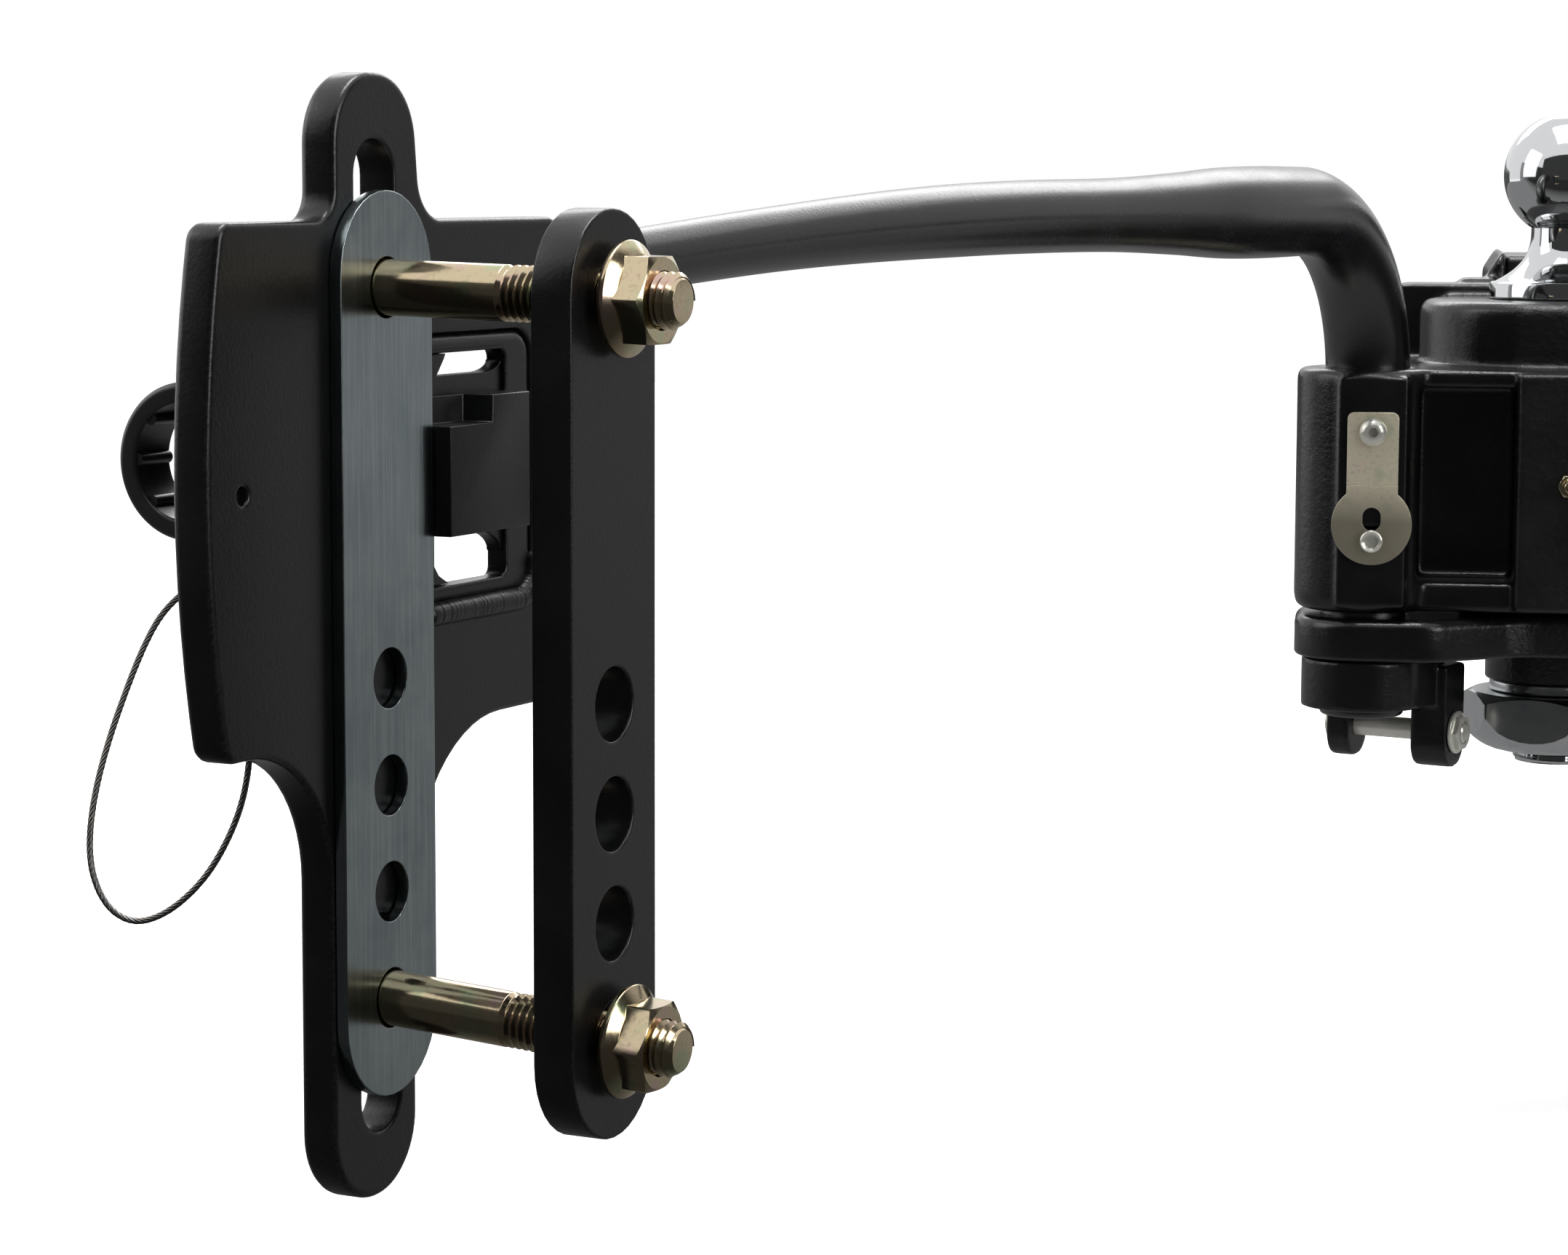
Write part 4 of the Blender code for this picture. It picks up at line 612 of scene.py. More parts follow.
def slab(outline, holes, low, high, axis="Y", rim=0.001, rim_low=None, hole_rim=None, steps=4):
    """Flat piece with holes, its edges rounded where faces and walls meet."""
    bm = bmesh.new()
    mark = bm.verts.layers.float.new("rim")
    caps = ([], [])
    quarter = [math.pi / 2 * k / steps for k in range(steps + 1)]
    for number, loop in enumerate([outline] + list(holes)):
        turn = sum(a[0] * b[1] - b[0] * a[1] for a, b in zip(loop, loop[1:] + loop[:1]))
        if (turn > 0) != (number == 0):
            loop = loop[::-1]
        lower, upper = (rim if rim_low is None else rim_low), rim
        if number and hole_rim is not None:
            lower = upper = hole_rim
        layers = [(lower * 1.35 + 0.0002, low, 0.0)]
        layers += [(lower * (1 - math.sin(a)), low + lower * (1 - math.cos(a)), math.sin(2 * a))
                   for a in quarter]
        layers += [(upper * (1 - math.cos(a)), high - upper * (1 - math.sin(a)), math.sin(2 * a))
                   for a in quarter]
        layers.append((upper * 1.35 + 0.0002, high, 0.0))
        rows = []
        # Each row's share of the edge round is marked; the black coats polish by it and paint a highlight
        # there.
        for distance, level, highlight_and_polish in layers:
            row = [bm.verts.new(lay(axis, a, b, level)) for a, b in inset(loop, distance)]
            for vert in row:
                vert[mark] = highlight_and_polish
            rows.append(row)
        count = len(loop)
        for first, second in zip(rows, rows[1:]):
            for i in range(count):
                j = (i + 1) % count
                bm.faces.new((first[i], first[j], second[j], second[i]))
        for cap, row in zip(caps, (rows[0], rows[-1])):
            cap += [bm.edges.get((row[i], row[(i + 1) % count])) for i in range(count)]
    for cap in caps:
        bmesh.ops.triangle_fill(bm, use_beauty=True, edges=cap)
    bmesh.ops.recalc_face_normals(bm, faces=bm.faces[:])
    return bm


# %% [markdown]
# Round pieces are turned: a profile is spun about an axis. Nuts are turned too, in a way. A nut is a
# six-sided bar whose corners a cone cuts at each end, so each point of its outline meets the cone at a
# height that depends on its distance from the axis. That gives the curved bright lines on a real nut.


# %% Turned, lofted and six-sided shapes
def loft(rings, closed=False):
    """Skin through rings of points; open skins get flat ends."""
    bm = bmesh.new()
    rows = [[bm.verts.new(point) for point in ring] for ring in rings]
    count = len(rows[0])
    for first, second in list(zip(rows, rows[1:])) + ([(rows[-1], rows[0])] if closed else []):
        for i in range(count):
            j = (i + 1) % count
            bm.faces.new((first[i], first[j], second[j], second[i]))
    if not closed:
        bm.faces.new(rows[0])
        bm.faces.new(rows[-1])
    bmesh.ops.recalc_face_normals(bm, faces=bm.faces[:])
    return bm


def prism(outline, axis, *levels):
    """Outline drawn out between levels on an axis."""
    return loft([[lay(axis, a, b, level) for a, b in outline] for level in levels])


def lathe(profile, count, closed=False):
    """Round piece about z from (radius, height) or (radius, height, easing) points."""
    if len(profile[0]) == 3:
        ends = [] if closed else [0, len(profile) - 1]
        profile = rounded([(r, z, 0.0 if i in ends else ease) for i, (r, z, ease) in enumerate(profile)], 5)
    return loft([[(x, y, z) for x, y in circle(max(r, 0.00002), count)] for r, z in profile], closed)


def hex_nut(across, low, high, hole, corner, bowl=0.0):
    """Six-sided nut about z, both ends chamfered by a cone, or its foot by a wide round."""
    sharp = rounded([(x, y, corner) for x, y in circle(across / math.sqrt(3), 6)], 4)
    outline = []
    for a, b in zip(sharp, sharp[1:] + sharp[:1]):
        share = 8 if math.dist(a, b) > across / 4 else 1
        outline += [(a[0] + (b[0] - a[0]) * k / share, a[1] + (b[1] - a[1]) * k / share)
                    for k in range(share)]
    face = across / 2 * 0.975
    slope = math.tan(math.radians(30))

    def ring(level, reach=None, lean=0.0):
        points = []
        for x, y in outline:
            far = math.hypot(x, y)
            scale = 1.0 if reach is None else reach / far
            points.append((x * scale, y * scale, level + lean * (far - face) * slope))
        return points

    foot = [ring(low, hole), ring(low, face), ring(low, None, 1)]
    if bowl:
        foot = [ring(low, hole), ring(low, bowl)]
        for share in (0.2, 0.4, 0.6, 0.75, 0.87, 0.95, 1.0):
            points = []
            for x, y in outline:
                far = math.hypot(x, y)
                reach = bowl + (far - bowl) * share
                rise = bowl - math.sqrt(max(bowl ** 2 - (reach - bowl) ** 2, 0.0))
                points.append((x * reach / far, y * reach / far, low + rise))
            foot.append(points)
    return loft(foot + [ring(high, None, -1), ring(high, face), ring(high, hole)], closed=True)


def moved(bm, matrix):
    bmesh.ops.transform(bm, matrix=matrix, verts=bm.verts[:])
    return bm


def together(*shapes):
    """Several shapes as one mesh."""
    whole = bmesh.new()
    whole.verts.layers.float.new("rim")
    for shape in shapes:
        part = as_mesh("part", shape)
        whole.from_mesh(part)
        bpy.data.meshes.remove(part)
    return whole


ALONG_X = Matrix.Rotation(math.pi / 2, 4, "Y")
ALONG_Y = Matrix.Rotation(-math.pi / 2, 4, "X")


def at(x, y, z):
    return Matrix.Translation((x, y, z))


# %% [markdown]
# Castings and forgings have no sharp inner corners: metal flows, and every step ends in a fillet. Shapes
# are joined and cut by Booleans first. A forging then gets a bevel along its edges. A casting is rebuilt
# from small voxels and smoothed, which turns all its steps into fillets at once.


# %% Forged and cast shapes
def box(low, high):
    outline = [(low[0], low[1]), (high[0], low[1]), (high[0], high[1]), (low[0], high[1])]
    return prism(outline, "Z", low[2], high[2])


def forged(name, base, joins=(), cuts=(), bevel=0.0, voxel=0.0, passes=0):
    """Closed shapes joined and cut, then rounded by bevels or as a casting."""
    body = put(name, as_mesh(name, base))
    tools = []
    for operation, shapes in (("UNION", joins), ("DIFFERENCE", cuts)):
        for shape in shapes:
            tools.append(put(name, as_mesh(name, shape)))
            step = body.modifiers.new(operation, "BOOLEAN")
            step.operation = operation
            step.object = tools[-1]
            step.solver = "EXACT"
    if bevel:
        step = body.modifiers.new("edge", "BEVEL")
        step.width = bevel
        step.segments = 3
        step.limit_method = "ANGLE"
        step.angle_limit = math.radians(40)
    if voxel:
        step = body.modifiers.new("cast", "REMESH")
        step.mode = "VOXEL"
        step.voxel_size = voxel
        step = body.modifiers.new("soft", "SMOOTH")
        step.iterations = passes
        step.factor = 0.5
    mesh = settled(body)
    for old in [body] + tools:
        bpy.data.objects.remove(old)
    print("forged", name, len(mesh.polygons), "faces")
    return mesh


# %% [markdown]
# A screw thread is one ridge that climbs round a rod. A spiral curve skinned with a small diamond gives
# it: the diamond's outer half is the ridge, and the rod hides its inner half.


# %% Thread tree
def thread_tree():
    thread = Grower("screw_thread", {"Turns": 10.0, "Length": 0.02, "Radius": 0.007, "Ridge": 0.0011})
    spiral = thread.node("CurveSpiral", None, {"Resolution": 28, "Rotations": thread.given("Turns"),
                                               "Height": thread.given("Length"),
                                               "Start Radius": thread.given("Radius"),
                                               "End Radius": thread.given("Radius")})
    level = thread.node("SetCurveNormal", {"mode": "Z_UP"}, {"Curve": spiral.outputs[0]})
    thread.finish(thread.tube(level.outputs[0], 4, "Ridge"))
    return thread


screw_thread = thread_tree()


def threaded(name, finish, crest, low, high, pitch):
    """Thread about z whose ridge reaches the crest radius."""
    ridge = pitch * 0.5
    mesh = screw_thread.grow(name, finish, Turns=(high - low) / pitch, Length=high - low,
                             Radius=crest - ridge, Ridge=ridge)
    mesh.transform(at(0, 0, low))
    return mesh


# %% [markdown]
# The frame bracket is a thick plate with two slotted ears, bowed a little at its rear edge. A window in
# it takes the hanger's tongue, and a collar is welded round the window. All of its edges are well rounded,
# as a plate that was cut by plasma and then tumbled.


# %% Bracket plates
PLATE_BACK = 0.004
LOCK_PIN = (-0.008, -0.082)
ROPE_SCREW = (-0.0669, -0.0861)


def window(grow, corner, front_grow):
    """Outline of the plate's window, grown on every side."""
    rear, front = 0.0245 - grow, 0.072 + front_grow
    top, low = -0.0516 + grow, -0.12 - grow
    corners = ((rear, low), (front, low), (front, top), (rear, top))
    return rounded([(x, z, corner) for x, z in corners], 8)


def plate_shape():
    half, top, low, foot, rear, front = 0.0208, -0.0125, -0.161, -0.1588, -0.076, 0.105
    bow = [(rear - 0.008 * 4 * (k / 12) * (1 - k / 12), foot + (top - foot) * k / 12, 0)
           for k in range(1, 12)]
    outline = rounded([(-half, top, 0.0085), (-half, 0.029, half * 0.98), (half, 0.029, half * 0.98),
                       (half + 0.0045, top, 0.013), (front, top, 0.006), (front, low, 0.006),
                       (0.0192, low, 0.05), (0.0192, -0.2946, 0.0216), (-0.025, -0.2946, 0.0216),
                       (-0.025, foot, 0.04), (rear, foot, 0.006)] + bow + [(rear, top, 0.006)], 14)
    slot, run, upper, lower = 0.01025, 0.064, 0.0103, -0.2759
    holes = [stadium(slot, upper - run, upper), stadium(slot, lower, lower + run),
             window(0.0059, 0.0089, 0.0153), circle(0.0054, 32, LOCK_PIN), circle(0.0025, 24, ROPE_SCREW)]
    return slab(outline, holes, PLATE_BACK, 0.016, "Y", rim=0.003, rim_low=0.0017, hole_rim=0.001)


for name, body, place in brackets():
    piece(f"plate_{name}", plate_shape(), black_paint, body, place, node=f"bracket_plate_{name}")
    collar = slab(window(0.0056, 0.0086, 0.015), [window(0.0, 0.003, 0.0)], PLATE_BACK, 0.011, "Y",
                  rim=0.0008, rim_low=0.0032, hole_rim=0.0008)
    piece(f"collar_{name}", collar, black_paint, body, place, node=f"window_collar_{name}")

# %% [markdown]
# The collar's lower weld is a row of overlapping puddles that froze one after the other. The tree sets
# a small ball at even steps along the seam and sizes each a little differently.


# %% Weld beads
def bead_tree():
    bead = Grower("weld_bead", {"Step": 0.0005, "Puddle": 0.0036, "Seed": 4}, on_path=True)
    points = bead.node("CurveToPoints", {"mode": "LENGTH"},
                       {"Curve": bead.given("Geometry"), "Length": bead.given("Step")})
    ball = bead.node("MeshIcoSphere", None, {"Radius": bead.given("Puddle"), "Subdivisions": 3})
    size = bead.node("FunctionNodeRandomValue", {"data_type": "FLOAT"},
                     {2: 0.97, 3: 1.04, "Seed": bead.given("Seed")})
    laid = bead.node("InstanceOnPoints", None,
                     {"Points": points.outputs[0], "Instance": ball.outputs[0],
                      "Rotation": points.outputs["Rotation"], "Scale": size.outputs[1]})
    bead.finish(laid.outputs[0])
    return bead


weld_bead = bead_tree()
WELD_START, WELD_LEVEL = 0.0275, 0.0042
seam = window(0.0078, 0.0108, 0.016)
low_run = [(x, WELD_LEVEL, z) for x, z in seam if z < -0.113 and x > WELD_START]
low_run = [(WELD_START, WELD_LEVEL, low_run[0][2])] + low_run
for name, body, place in brackets():
    bead = weld_bead.grow(f"weld_{name}", black_paint, low_run)
    piece(f"weld_{name}", bead, black_paint, body, place, 60, node="")

# %% [markdown]
# A bare strip lies against the plate and a heavy bar faces it. The trailer's frame goes between them.
# The strip was rolled and left bare, so it keeps mill marks along its length. The bar is painted.

# %% Strips and clamp bars
HALF_WIDE = 0.024
STRIP_HOLES = (0.0314, 0.236, 0.1429, 0.1739, 0.2049)
BAR_HOLES = (0.033, 0.2402, 0.1458, 0.1768, 0.2078)
for name, body, place in brackets():
    holes = [circle(0.00875, 40, (0, -drop)) for drop in STRIP_HOLES]
    strip = slab(stadium(HALF_WIDE, -0.2646, -0.004), holes, 0.0, 0.0037, "Y", rim=0.0003)
    piece(f"strip_{name}", strip, bare_steel, body, place, node=f"spacer_strip_{name}")
    holes = [circle(0.01045, 48, (0, -drop)) for drop in BAR_HOLES]
    bar = slab(stadium(HALF_WIDE, -0.2691, -0.0085), holes, -0.0734, -0.0607, "Y",
               rim=0.0008, rim_low=0.0007, hole_rim=0.0008)
    piece(f"clamp_bar_{name}", bar, black_paint, body, place)

# %% [markdown]
# Two long bolts squeeze strip and bar together. They are smooth near the head and threaded toward the
# nut. They stand a little slanted, because their holes are wide. The nuts have a flange that spreads
# the load.

# %% Clamp bolts and flange nuts
for name, body, place in brackets():
    for level, drop, tilt in (("upper", STRIP_HOLES[0], 1.4), ("lower", STRIP_HOLES[1], 3.6)):
        lean = Matrix.Rotation(math.radians(tilt), 4, "X")
        axis = place @ at(0, 0, -drop) @ lean @ ALONG_Y
        seat = 0.0163 + 0.025 * math.tan(math.radians(tilt))
        rod = lathe([(0, seat + 0.0045, 0), (0.007, seat + 0.0045, 0.004), (0.0125, seat + 0.0024, 0.0015),
                     (0.0125, seat, 0.0004), (0.008, seat, 0.0002), (0.008, -0.0397, 0.0004),
                     (0.007, -0.0409, 0.0002), (0.007, -0.0938, 0.0003), (0.006, -0.0951, 0.0002),
                     (0, -0.0951, 0)], 48)
        ridge = threaded(f"bolt_thread_{level}_{name}", yellow_zinc, 0.008, -0.094, -0.0407, 0.00231)
        piece(f"clamp_bolt_{level}_{name}", together(rod, ridge), yellow_zinc, body, axis, 28)
        flange = lathe([(0.0083, -0.0769, 0.0003), (0.01625, -0.0769, 0.0005), (0.01625, -0.0786, 0.0006),
                        (0.0124, -0.0812, 0.001), (0.0083, -0.0812, 0.0002)], 64, closed=True)
        six = hex_nut(0.024, -0.0889, -0.079, 0.0083, 0.001)
        piece(f"flange_nut_{level}_{name}", together(flange, six), yellow_zinc, body, axis, 28)

# %% [markdown]
# The hanger is a forging: a tongue with a notch comes through the window, and behind the plate a
# shelf with a lip carries the bar on a plastic pad. The shelf follows the bar's fall.


# %% Hangers and pads
BAR_LEVEL = -0.016
DROOP_START, DROOP_RUN, DROOP = 0.3, 0.26, 0.07


def bar_height(distance):
    """Height of the bar's axis at a distance from its socket: level, then drooping."""
    inside = min(max(distance - DROOP_START, 0.0), DROOP_RUN)
    past = max(distance - DROOP_START - DROOP_RUN, 0.0)
    return BAR_LEVEL - DROOP * inside ** 2 / (2 * DROOP_RUN) - DROOP * past


def hanger_shape():
    rings, pad_rings = [], []
    low, top, lip, inner, outer, lip_high = -0.1044, -0.064, 0.057, 0.0305, 0.068, 0.024
    pad_half, pad_thick = 0.011, 0.004
    for along in (0.0255, 0.071):
        pad_top = bar_height(BAR_REACH - along) - 0.0103
        out = PLATE_INWARD - along * math.tan(BAR_YAW - PLATE_YAW)
        shelf = pad_top - 0.0043
        section = ((-0.005, low), (0.046, low), (outer, low + 0.022), (outer, shelf + lip_high),
                   (lip, shelf + lip_high), (lip, shelf), (inner, shelf), (inner, top), (-0.005, top))
        rings.append([(along, y, z) for y, z in section])
        section = ((out - pad_half, pad_top), (out + pad_half, pad_top),
                   (out + pad_half, pad_top - pad_thick), (out - pad_half, pad_top - pad_thick))
        pad_rings.append([(along, y, z) for y, z in section])
    wing = rounded([(0.0315, -0.095, 0), (0.0315, -0.069, 0), (-0.021, -0.069, 0.0127),
                    (-0.021, -0.095, 0.0127)], 10)
    wing = prism(wing, "Y", 0.0163, 0.0283)
    web = [(0.0257, 0.0535), (0.0272, 0.0519), (0.0405, 0.0519), (0.0395, 0.0535), (0.0353, 0.0583)]
    web += [(0.0613 + 0.0104 * math.sin(0.157 * k), 0.0549 + 0.0034 * math.cos(0.157 * k))
            for k in range(11)]
    web += [(0.0487 + 0.023 * math.cos(0.157 * k), 0.1127 - 0.0082 * math.sin(0.157 * k))
            for k in range(11)]
    web += [(0.0335, 0.1045), (0.0335, 0.1141), (0.036, 0.117), (0.0414, 0.1197), (0.0272, 0.1197),
            (0.0257, 0.1181)]
    web = slab([(x, -drop) for x, drop in web], [], 0.0056, 0.0108, "Y", rim=0.0003)
    notch = box((0.0205, -0.01, -0.0722), (0.0495, 0.0054, -0.059))
    bore = moved(lathe([(0.0054, 0.0), (0.0054, 0.05)], 32), at(LOCK_PIN[0], 0, LOCK_PIN[1]) @ ALONG_Y)
    hanger = forged("hanger", loft(rings), [wing], [notch, bore], bevel=0.0005)
    return together(hanger, web), forged("pad", loft(pad_rings), bevel=0.0008)


for name, body, place in brackets():
    hanger, pad = hanger_shape()
    piece(f"hanger_{name}", hanger, black_paint, body, place, 50, node=f"bar_hanger_{name}")
    piece(f"wear_pad_{name}", pad, pad_plastic, body, place, 50)

# %% [markdown]
# The lock pin ends in a moulded pull ring. Ribs inside the ring give a gloved finger some grip. They
# repeat round the bore, so a tree sets one at each step of a circle.


# %% Lock pins and pull rings
def rib_tree():
    ribs = Grower("ring_ribs", {"Count": 8, "Bore": 0.017, "Rib": 0.0019, "Length": 0.015})
    spots = ribs.node("MeshCircle", None, {"Vertices": ribs.given("Count"), "Radius": ribs.given("Bore")})
    half = ribs.sum("MULTIPLY", ribs.given("Length"), 0.5)
    ends = [ribs.node("ShaderNodeCombineXYZ", None, {"Z": ribs.sum("MULTIPLY", half, sign)}).outputs[0]
            for sign in (-1.0, 1.0)]
    line = ribs.node("CurvePrimitiveLine", None, {"Start": ends[0], "End": ends[1]})
    laid = ribs.node("InstanceOnPoints", None, {"Points": spots.outputs[0],
                                                "Instance": ribs.tube(line.outputs[0], 16, "Rib")})
    ribs.finish(laid.outputs[0])
    return ribs


ring_ribs = rib_tree()
RING_OUT = 0.059
for name, side in SIDES.items():
    body = f"lock_pin_{name}"
    axis = bracket_place(side) @ at(LOCK_PIN[0], 0, LOCK_PIN[1])
    pin = lathe([(0, 0.0043, 0), (0.005, 0.0043, 0.0012), (0.005, 0.0357, 0.0006), (0, 0.0357, 0)], 40)
    piece(f"lock_pin_{name}", pin, zinc_plate, body, axis @ ALONG_Y)
    hoop = lathe([(0.017, -0.009, 0.0012), (0.023, -0.009, 0.0022), (0.023, 0.009, 0.0022),
                  (0.017, 0.009, 0.0012)], 96, closed=True)
    ribs = ring_ribs.grow(f"ribs_{name}", ring_plastic)
    ring = together(hoop, ribs)
    piece(f"pull_ring_{name}", ring, ring_plastic, body, axis @ at(0, RING_OUT, 0) @ ALONG_X)
    crimp = lathe([(0, -0.0233, 0), (0.0023, -0.0233, 0.0006), (0.0023, -0.0252, 0.0006),
                   (0.0018, -0.0262, 0.0006), (0.0018, -0.0274, 0.0006), (0.0023, -0.0284, 0.0006),
                   (0.0023, -0.0292, 0.0006), (0.0018, -0.03, 0.0006), (0.0018, -0.0308, 0.0006),
                   (0.0023, -0.0316, 0.0004), (0.0023, -0.0323, 0.0004), (0, -0.0323, 0)], 32)
    piece(f"lanyard_ferrule_{name}", crimp, zinc_plate, body, axis @ at(0, RING_OUT, 0))

# %% [markdown]
# At the plate, the rope ends in a crimped eye that a screw holds. The eye is a flat ring whose neck
# is rolled into a tube round the rope.

# %% Lanyard screws and eyes
for name, body, place in brackets():
    screw = lathe([(0, 0.008, 0), (0.0021, 0.008, 0.0003), (0.0021, 0.018, 0.0002), (0.005, 0.018, 0.0004),
                   (0.005, 0.0192, 0.0008), (0.0034, 0.0207, 0.0016), (0, 0.021, 0)], 40)
    piece(f"lanyard_screw_{name}", screw, zinc_plate, body,
          place @ at(ROPE_SCREW[0], 0, ROPE_SCREW[1]) @ ALONG_Y)
    ring = slab(circle(0.0062, 40, ROPE_SCREW), [circle(0.0023, 24, ROPE_SCREW)],
                0.0163, 0.0177, "Y", rim=0.0004)
    x, y, drop = ROPE_ROUTE[-1]
    run = Vector((x, y, -drop))
    lead = Vector((ROPE_SCREW[0], 0.0172, ROPE_SCREW[1])) - run
    tube = lathe([(0, -0.0015, 0), (0.0021, -0.0015, 0.0004), (0.0021, 0.0055, 0.0006),
                  (0.0016, 0.008, 0.0004), (0, 0.008, 0)], 24)
    turn = lead.to_track_quat("Z", "Y").to_matrix().to_4x4()
    eye = together(ring, moved(tube, Matrix.Translation(run) @ turn))
    piece(f"lanyard_eye_{name}", eye, zinc_plate, body, place, node="")

# %% [markdown]
# A spring bar is one forged rod. It stands upright in its socket, bends through a quarter turn and
# runs aft, thick where the load bends it most and thin at its tail. It is lofted from rings whose
# sizes are eased between measured stations, so that the taper has no kinks. Bending flattens the
# outer side of the bend a little.


# %% Spring bars
TAPER = ((0.075, 0.039), (0.12, 0.0396), (0.16, 0.0382), (0.2, 0.034), (0.26, 0.0296),
         (0.34, 0.0282), (0.4, 0.027), (0.507, 0.023), (0.566, 0.0217), (0.64, 0.0204),
         (0.706, 0.02), (0.82, 0.02))
BEND = 0.075
OUTER_THINNING = 0.17


def taper(distance):
    """Diameter of the bar, eased between its stations."""
    for i in range(len(TAPER) - 1):
        (x0, d0), (x1, d1) = TAPER[i], TAPER[i + 1]
        if distance <= x1:
            before, after = TAPER[max(i - 1, 0)], TAPER[min(i + 2, len(TAPER) - 1)]
            m0 = (d1 - before[1]) / (x1 - before[0])
            m1 = (after[1] - d0) / (after[0] - x0)
            t, span = (distance - x0) / (x1 - x0), x1 - x0
            return (d0 * (2 * t ** 3 - 3 * t ** 2 + 1) + m0 * span * (t ** 3 - 2 * t ** 2 + t)
                    + d1 * (3 * t ** 2 - 2 * t ** 3) + m1 * span * (t ** 3 - t ** 2))
    return TAPER[-1][1]


def bar_shape():
    thick, groove = 0.0193, 0.0151
    stem = [(0.0002, -0.2479, 0), (thick, -0.2479, 0.002), (thick, -0.1794, 0.001),
            (groove, -0.1794, 0.001), (groove, -0.1594, 0.001), (thick, -0.1594, 0.001), (thick, -0.096, 0)]
    stations = [(0.0, z, 0.0, r) for r, z in rounded(stem, 4)]
    for k in range(33):
        angle = math.pi / 2 * k / 32
        stations.append((BEND * (1 - math.cos(angle)), BAR_LEVEL - BEND * (1 - math.sin(angle)), angle,
                         thick + 0.0002 * k / 32))
    places = [(BEND + 0.734 * k / 150, None) for k in range(1, 151)]
    places += [(0.8113, 0.0184), (0.812, 0.015), (0.812, 0.0004)]
    for distance, size in places:
        rise = (bar_height(distance + 0.001) - bar_height(distance - 0.001)) / 0.002
        stations.append((distance, bar_height(distance), math.pi / 2 - math.atan(rise),
                         (size or taper(distance)) / 2))
    rings = []
    for x, z, lean, radius in stations:
        across = Vector((math.cos(lean), 0, -math.sin(lean)))
        thin = 1.0 - OUTER_THINNING * max(math.sin(2 * lean), 0.0)
        rings.append([Vector((x, 0, z)) + across * (a * thin if a < 0 else a) + Vector((0, b, 0))
                      for a, b in circle(radius, 56)])
    return loft(rings)


for name, side in SIDES.items():
    piece(f"spring_bar_{name}", bar_shape(), bar_paint, f"spring_bar_{name}", bar_place(side), 50)

# %% [markdown]
# Under the head, a cast strap grips the bar's lower end. Two ears hang from it and a bolt pinches
# them, so the bar turns with some friction and the trailer sways less.

# %% Friction clamps
EAR_BOLT = (-0.034, -0.2581)


def strap_shape():
    outline = []
    for radius, direction in ((0.0279, 1), (BORE, -1)):
        half = arc(radius, -math.pi / 2, math.pi / 2, 24)
        outline += ([(-0.03, -radius)] + half + [(-0.03, radius)])[::direction]
    strap = prism(outline, "Z", -0.2439, -0.2206)
    ears = []
    for near, far, foot in ((-0.0165, -0.0275, -0.2727), (0.015, 0.0325, -0.2745)):
        ear = rounded([(-0.0457, -0.226, 0.003), (-0.0457, foot, 0.0108), (-0.022, foot, 0.0108),
                       (-0.022, -0.226, 0)], 10)
        ears.append(prism(ear, "Y", near, far))
    return forged("strap", strap, ears, voxel=0.0009, passes=10)


for name, side in SIDES.items():
    body, place = f"spring_bar_{name}", bar_place(side)
    piece(f"friction_clamp_{name}", strap_shape(), cast_paint, body, place, 70)
    across = place @ at(EAR_BOLT[0], 0, EAR_BOLT[1]) @ ALONG_Y
    rod = lathe([(0, -0.0309, 0), (0.006, -0.0306, 0.002), (0.009, -0.0289, 0.001),
                 (0.009, -0.0278, 0.0003), (0.005, -0.0278, 0.0003), (0.005, 0.033, 0.0002),
                 (0.0044, 0.0336, 0.0002), (0.0044, 0.0372, 0.0003), (0.0038, 0.0378, 0.0002),
                 (0, 0.0378, 0)], 40)
    ridge = threaded(f"pinch_thread_{name}", pale_zinc, 0.005, 0.0336, 0.0376, 0.0013)
    piece(f"pinch_bolt_{name}", together(rod, ridge), pale_zinc, body, across, 28)
    flange = lathe([(0.0053, 0.0328, 0.0002), (0.01, 0.0328, 0.0004), (0.01, 0.0342, 0.0005),
                    (0.0078, 0.035, 0.0005), (0.0053, 0.035, 0.0002)], 56, closed=True)
    six = hex_nut(0.015, 0.034, 0.0373, 0.0053, 0.0007)
    piece(f"pinch_nut_{name}", together(flange, six), pale_zinc, body, across, 28)

# %% [markdown]
# The head is one iron casting: a platform for the ball, two sockets, lightening pockets between ribs, and
# two cheeks for the shank. All of it is joined and cut as simple shapes, then rebuilt as a casting.


# %% Head casting
SHANK_BOLTS = {"upper": 0.08, "lower": 0.165}
SHANK_BOLT_FORWARD = 0.1023
SHANK_HOLE = 0.0098


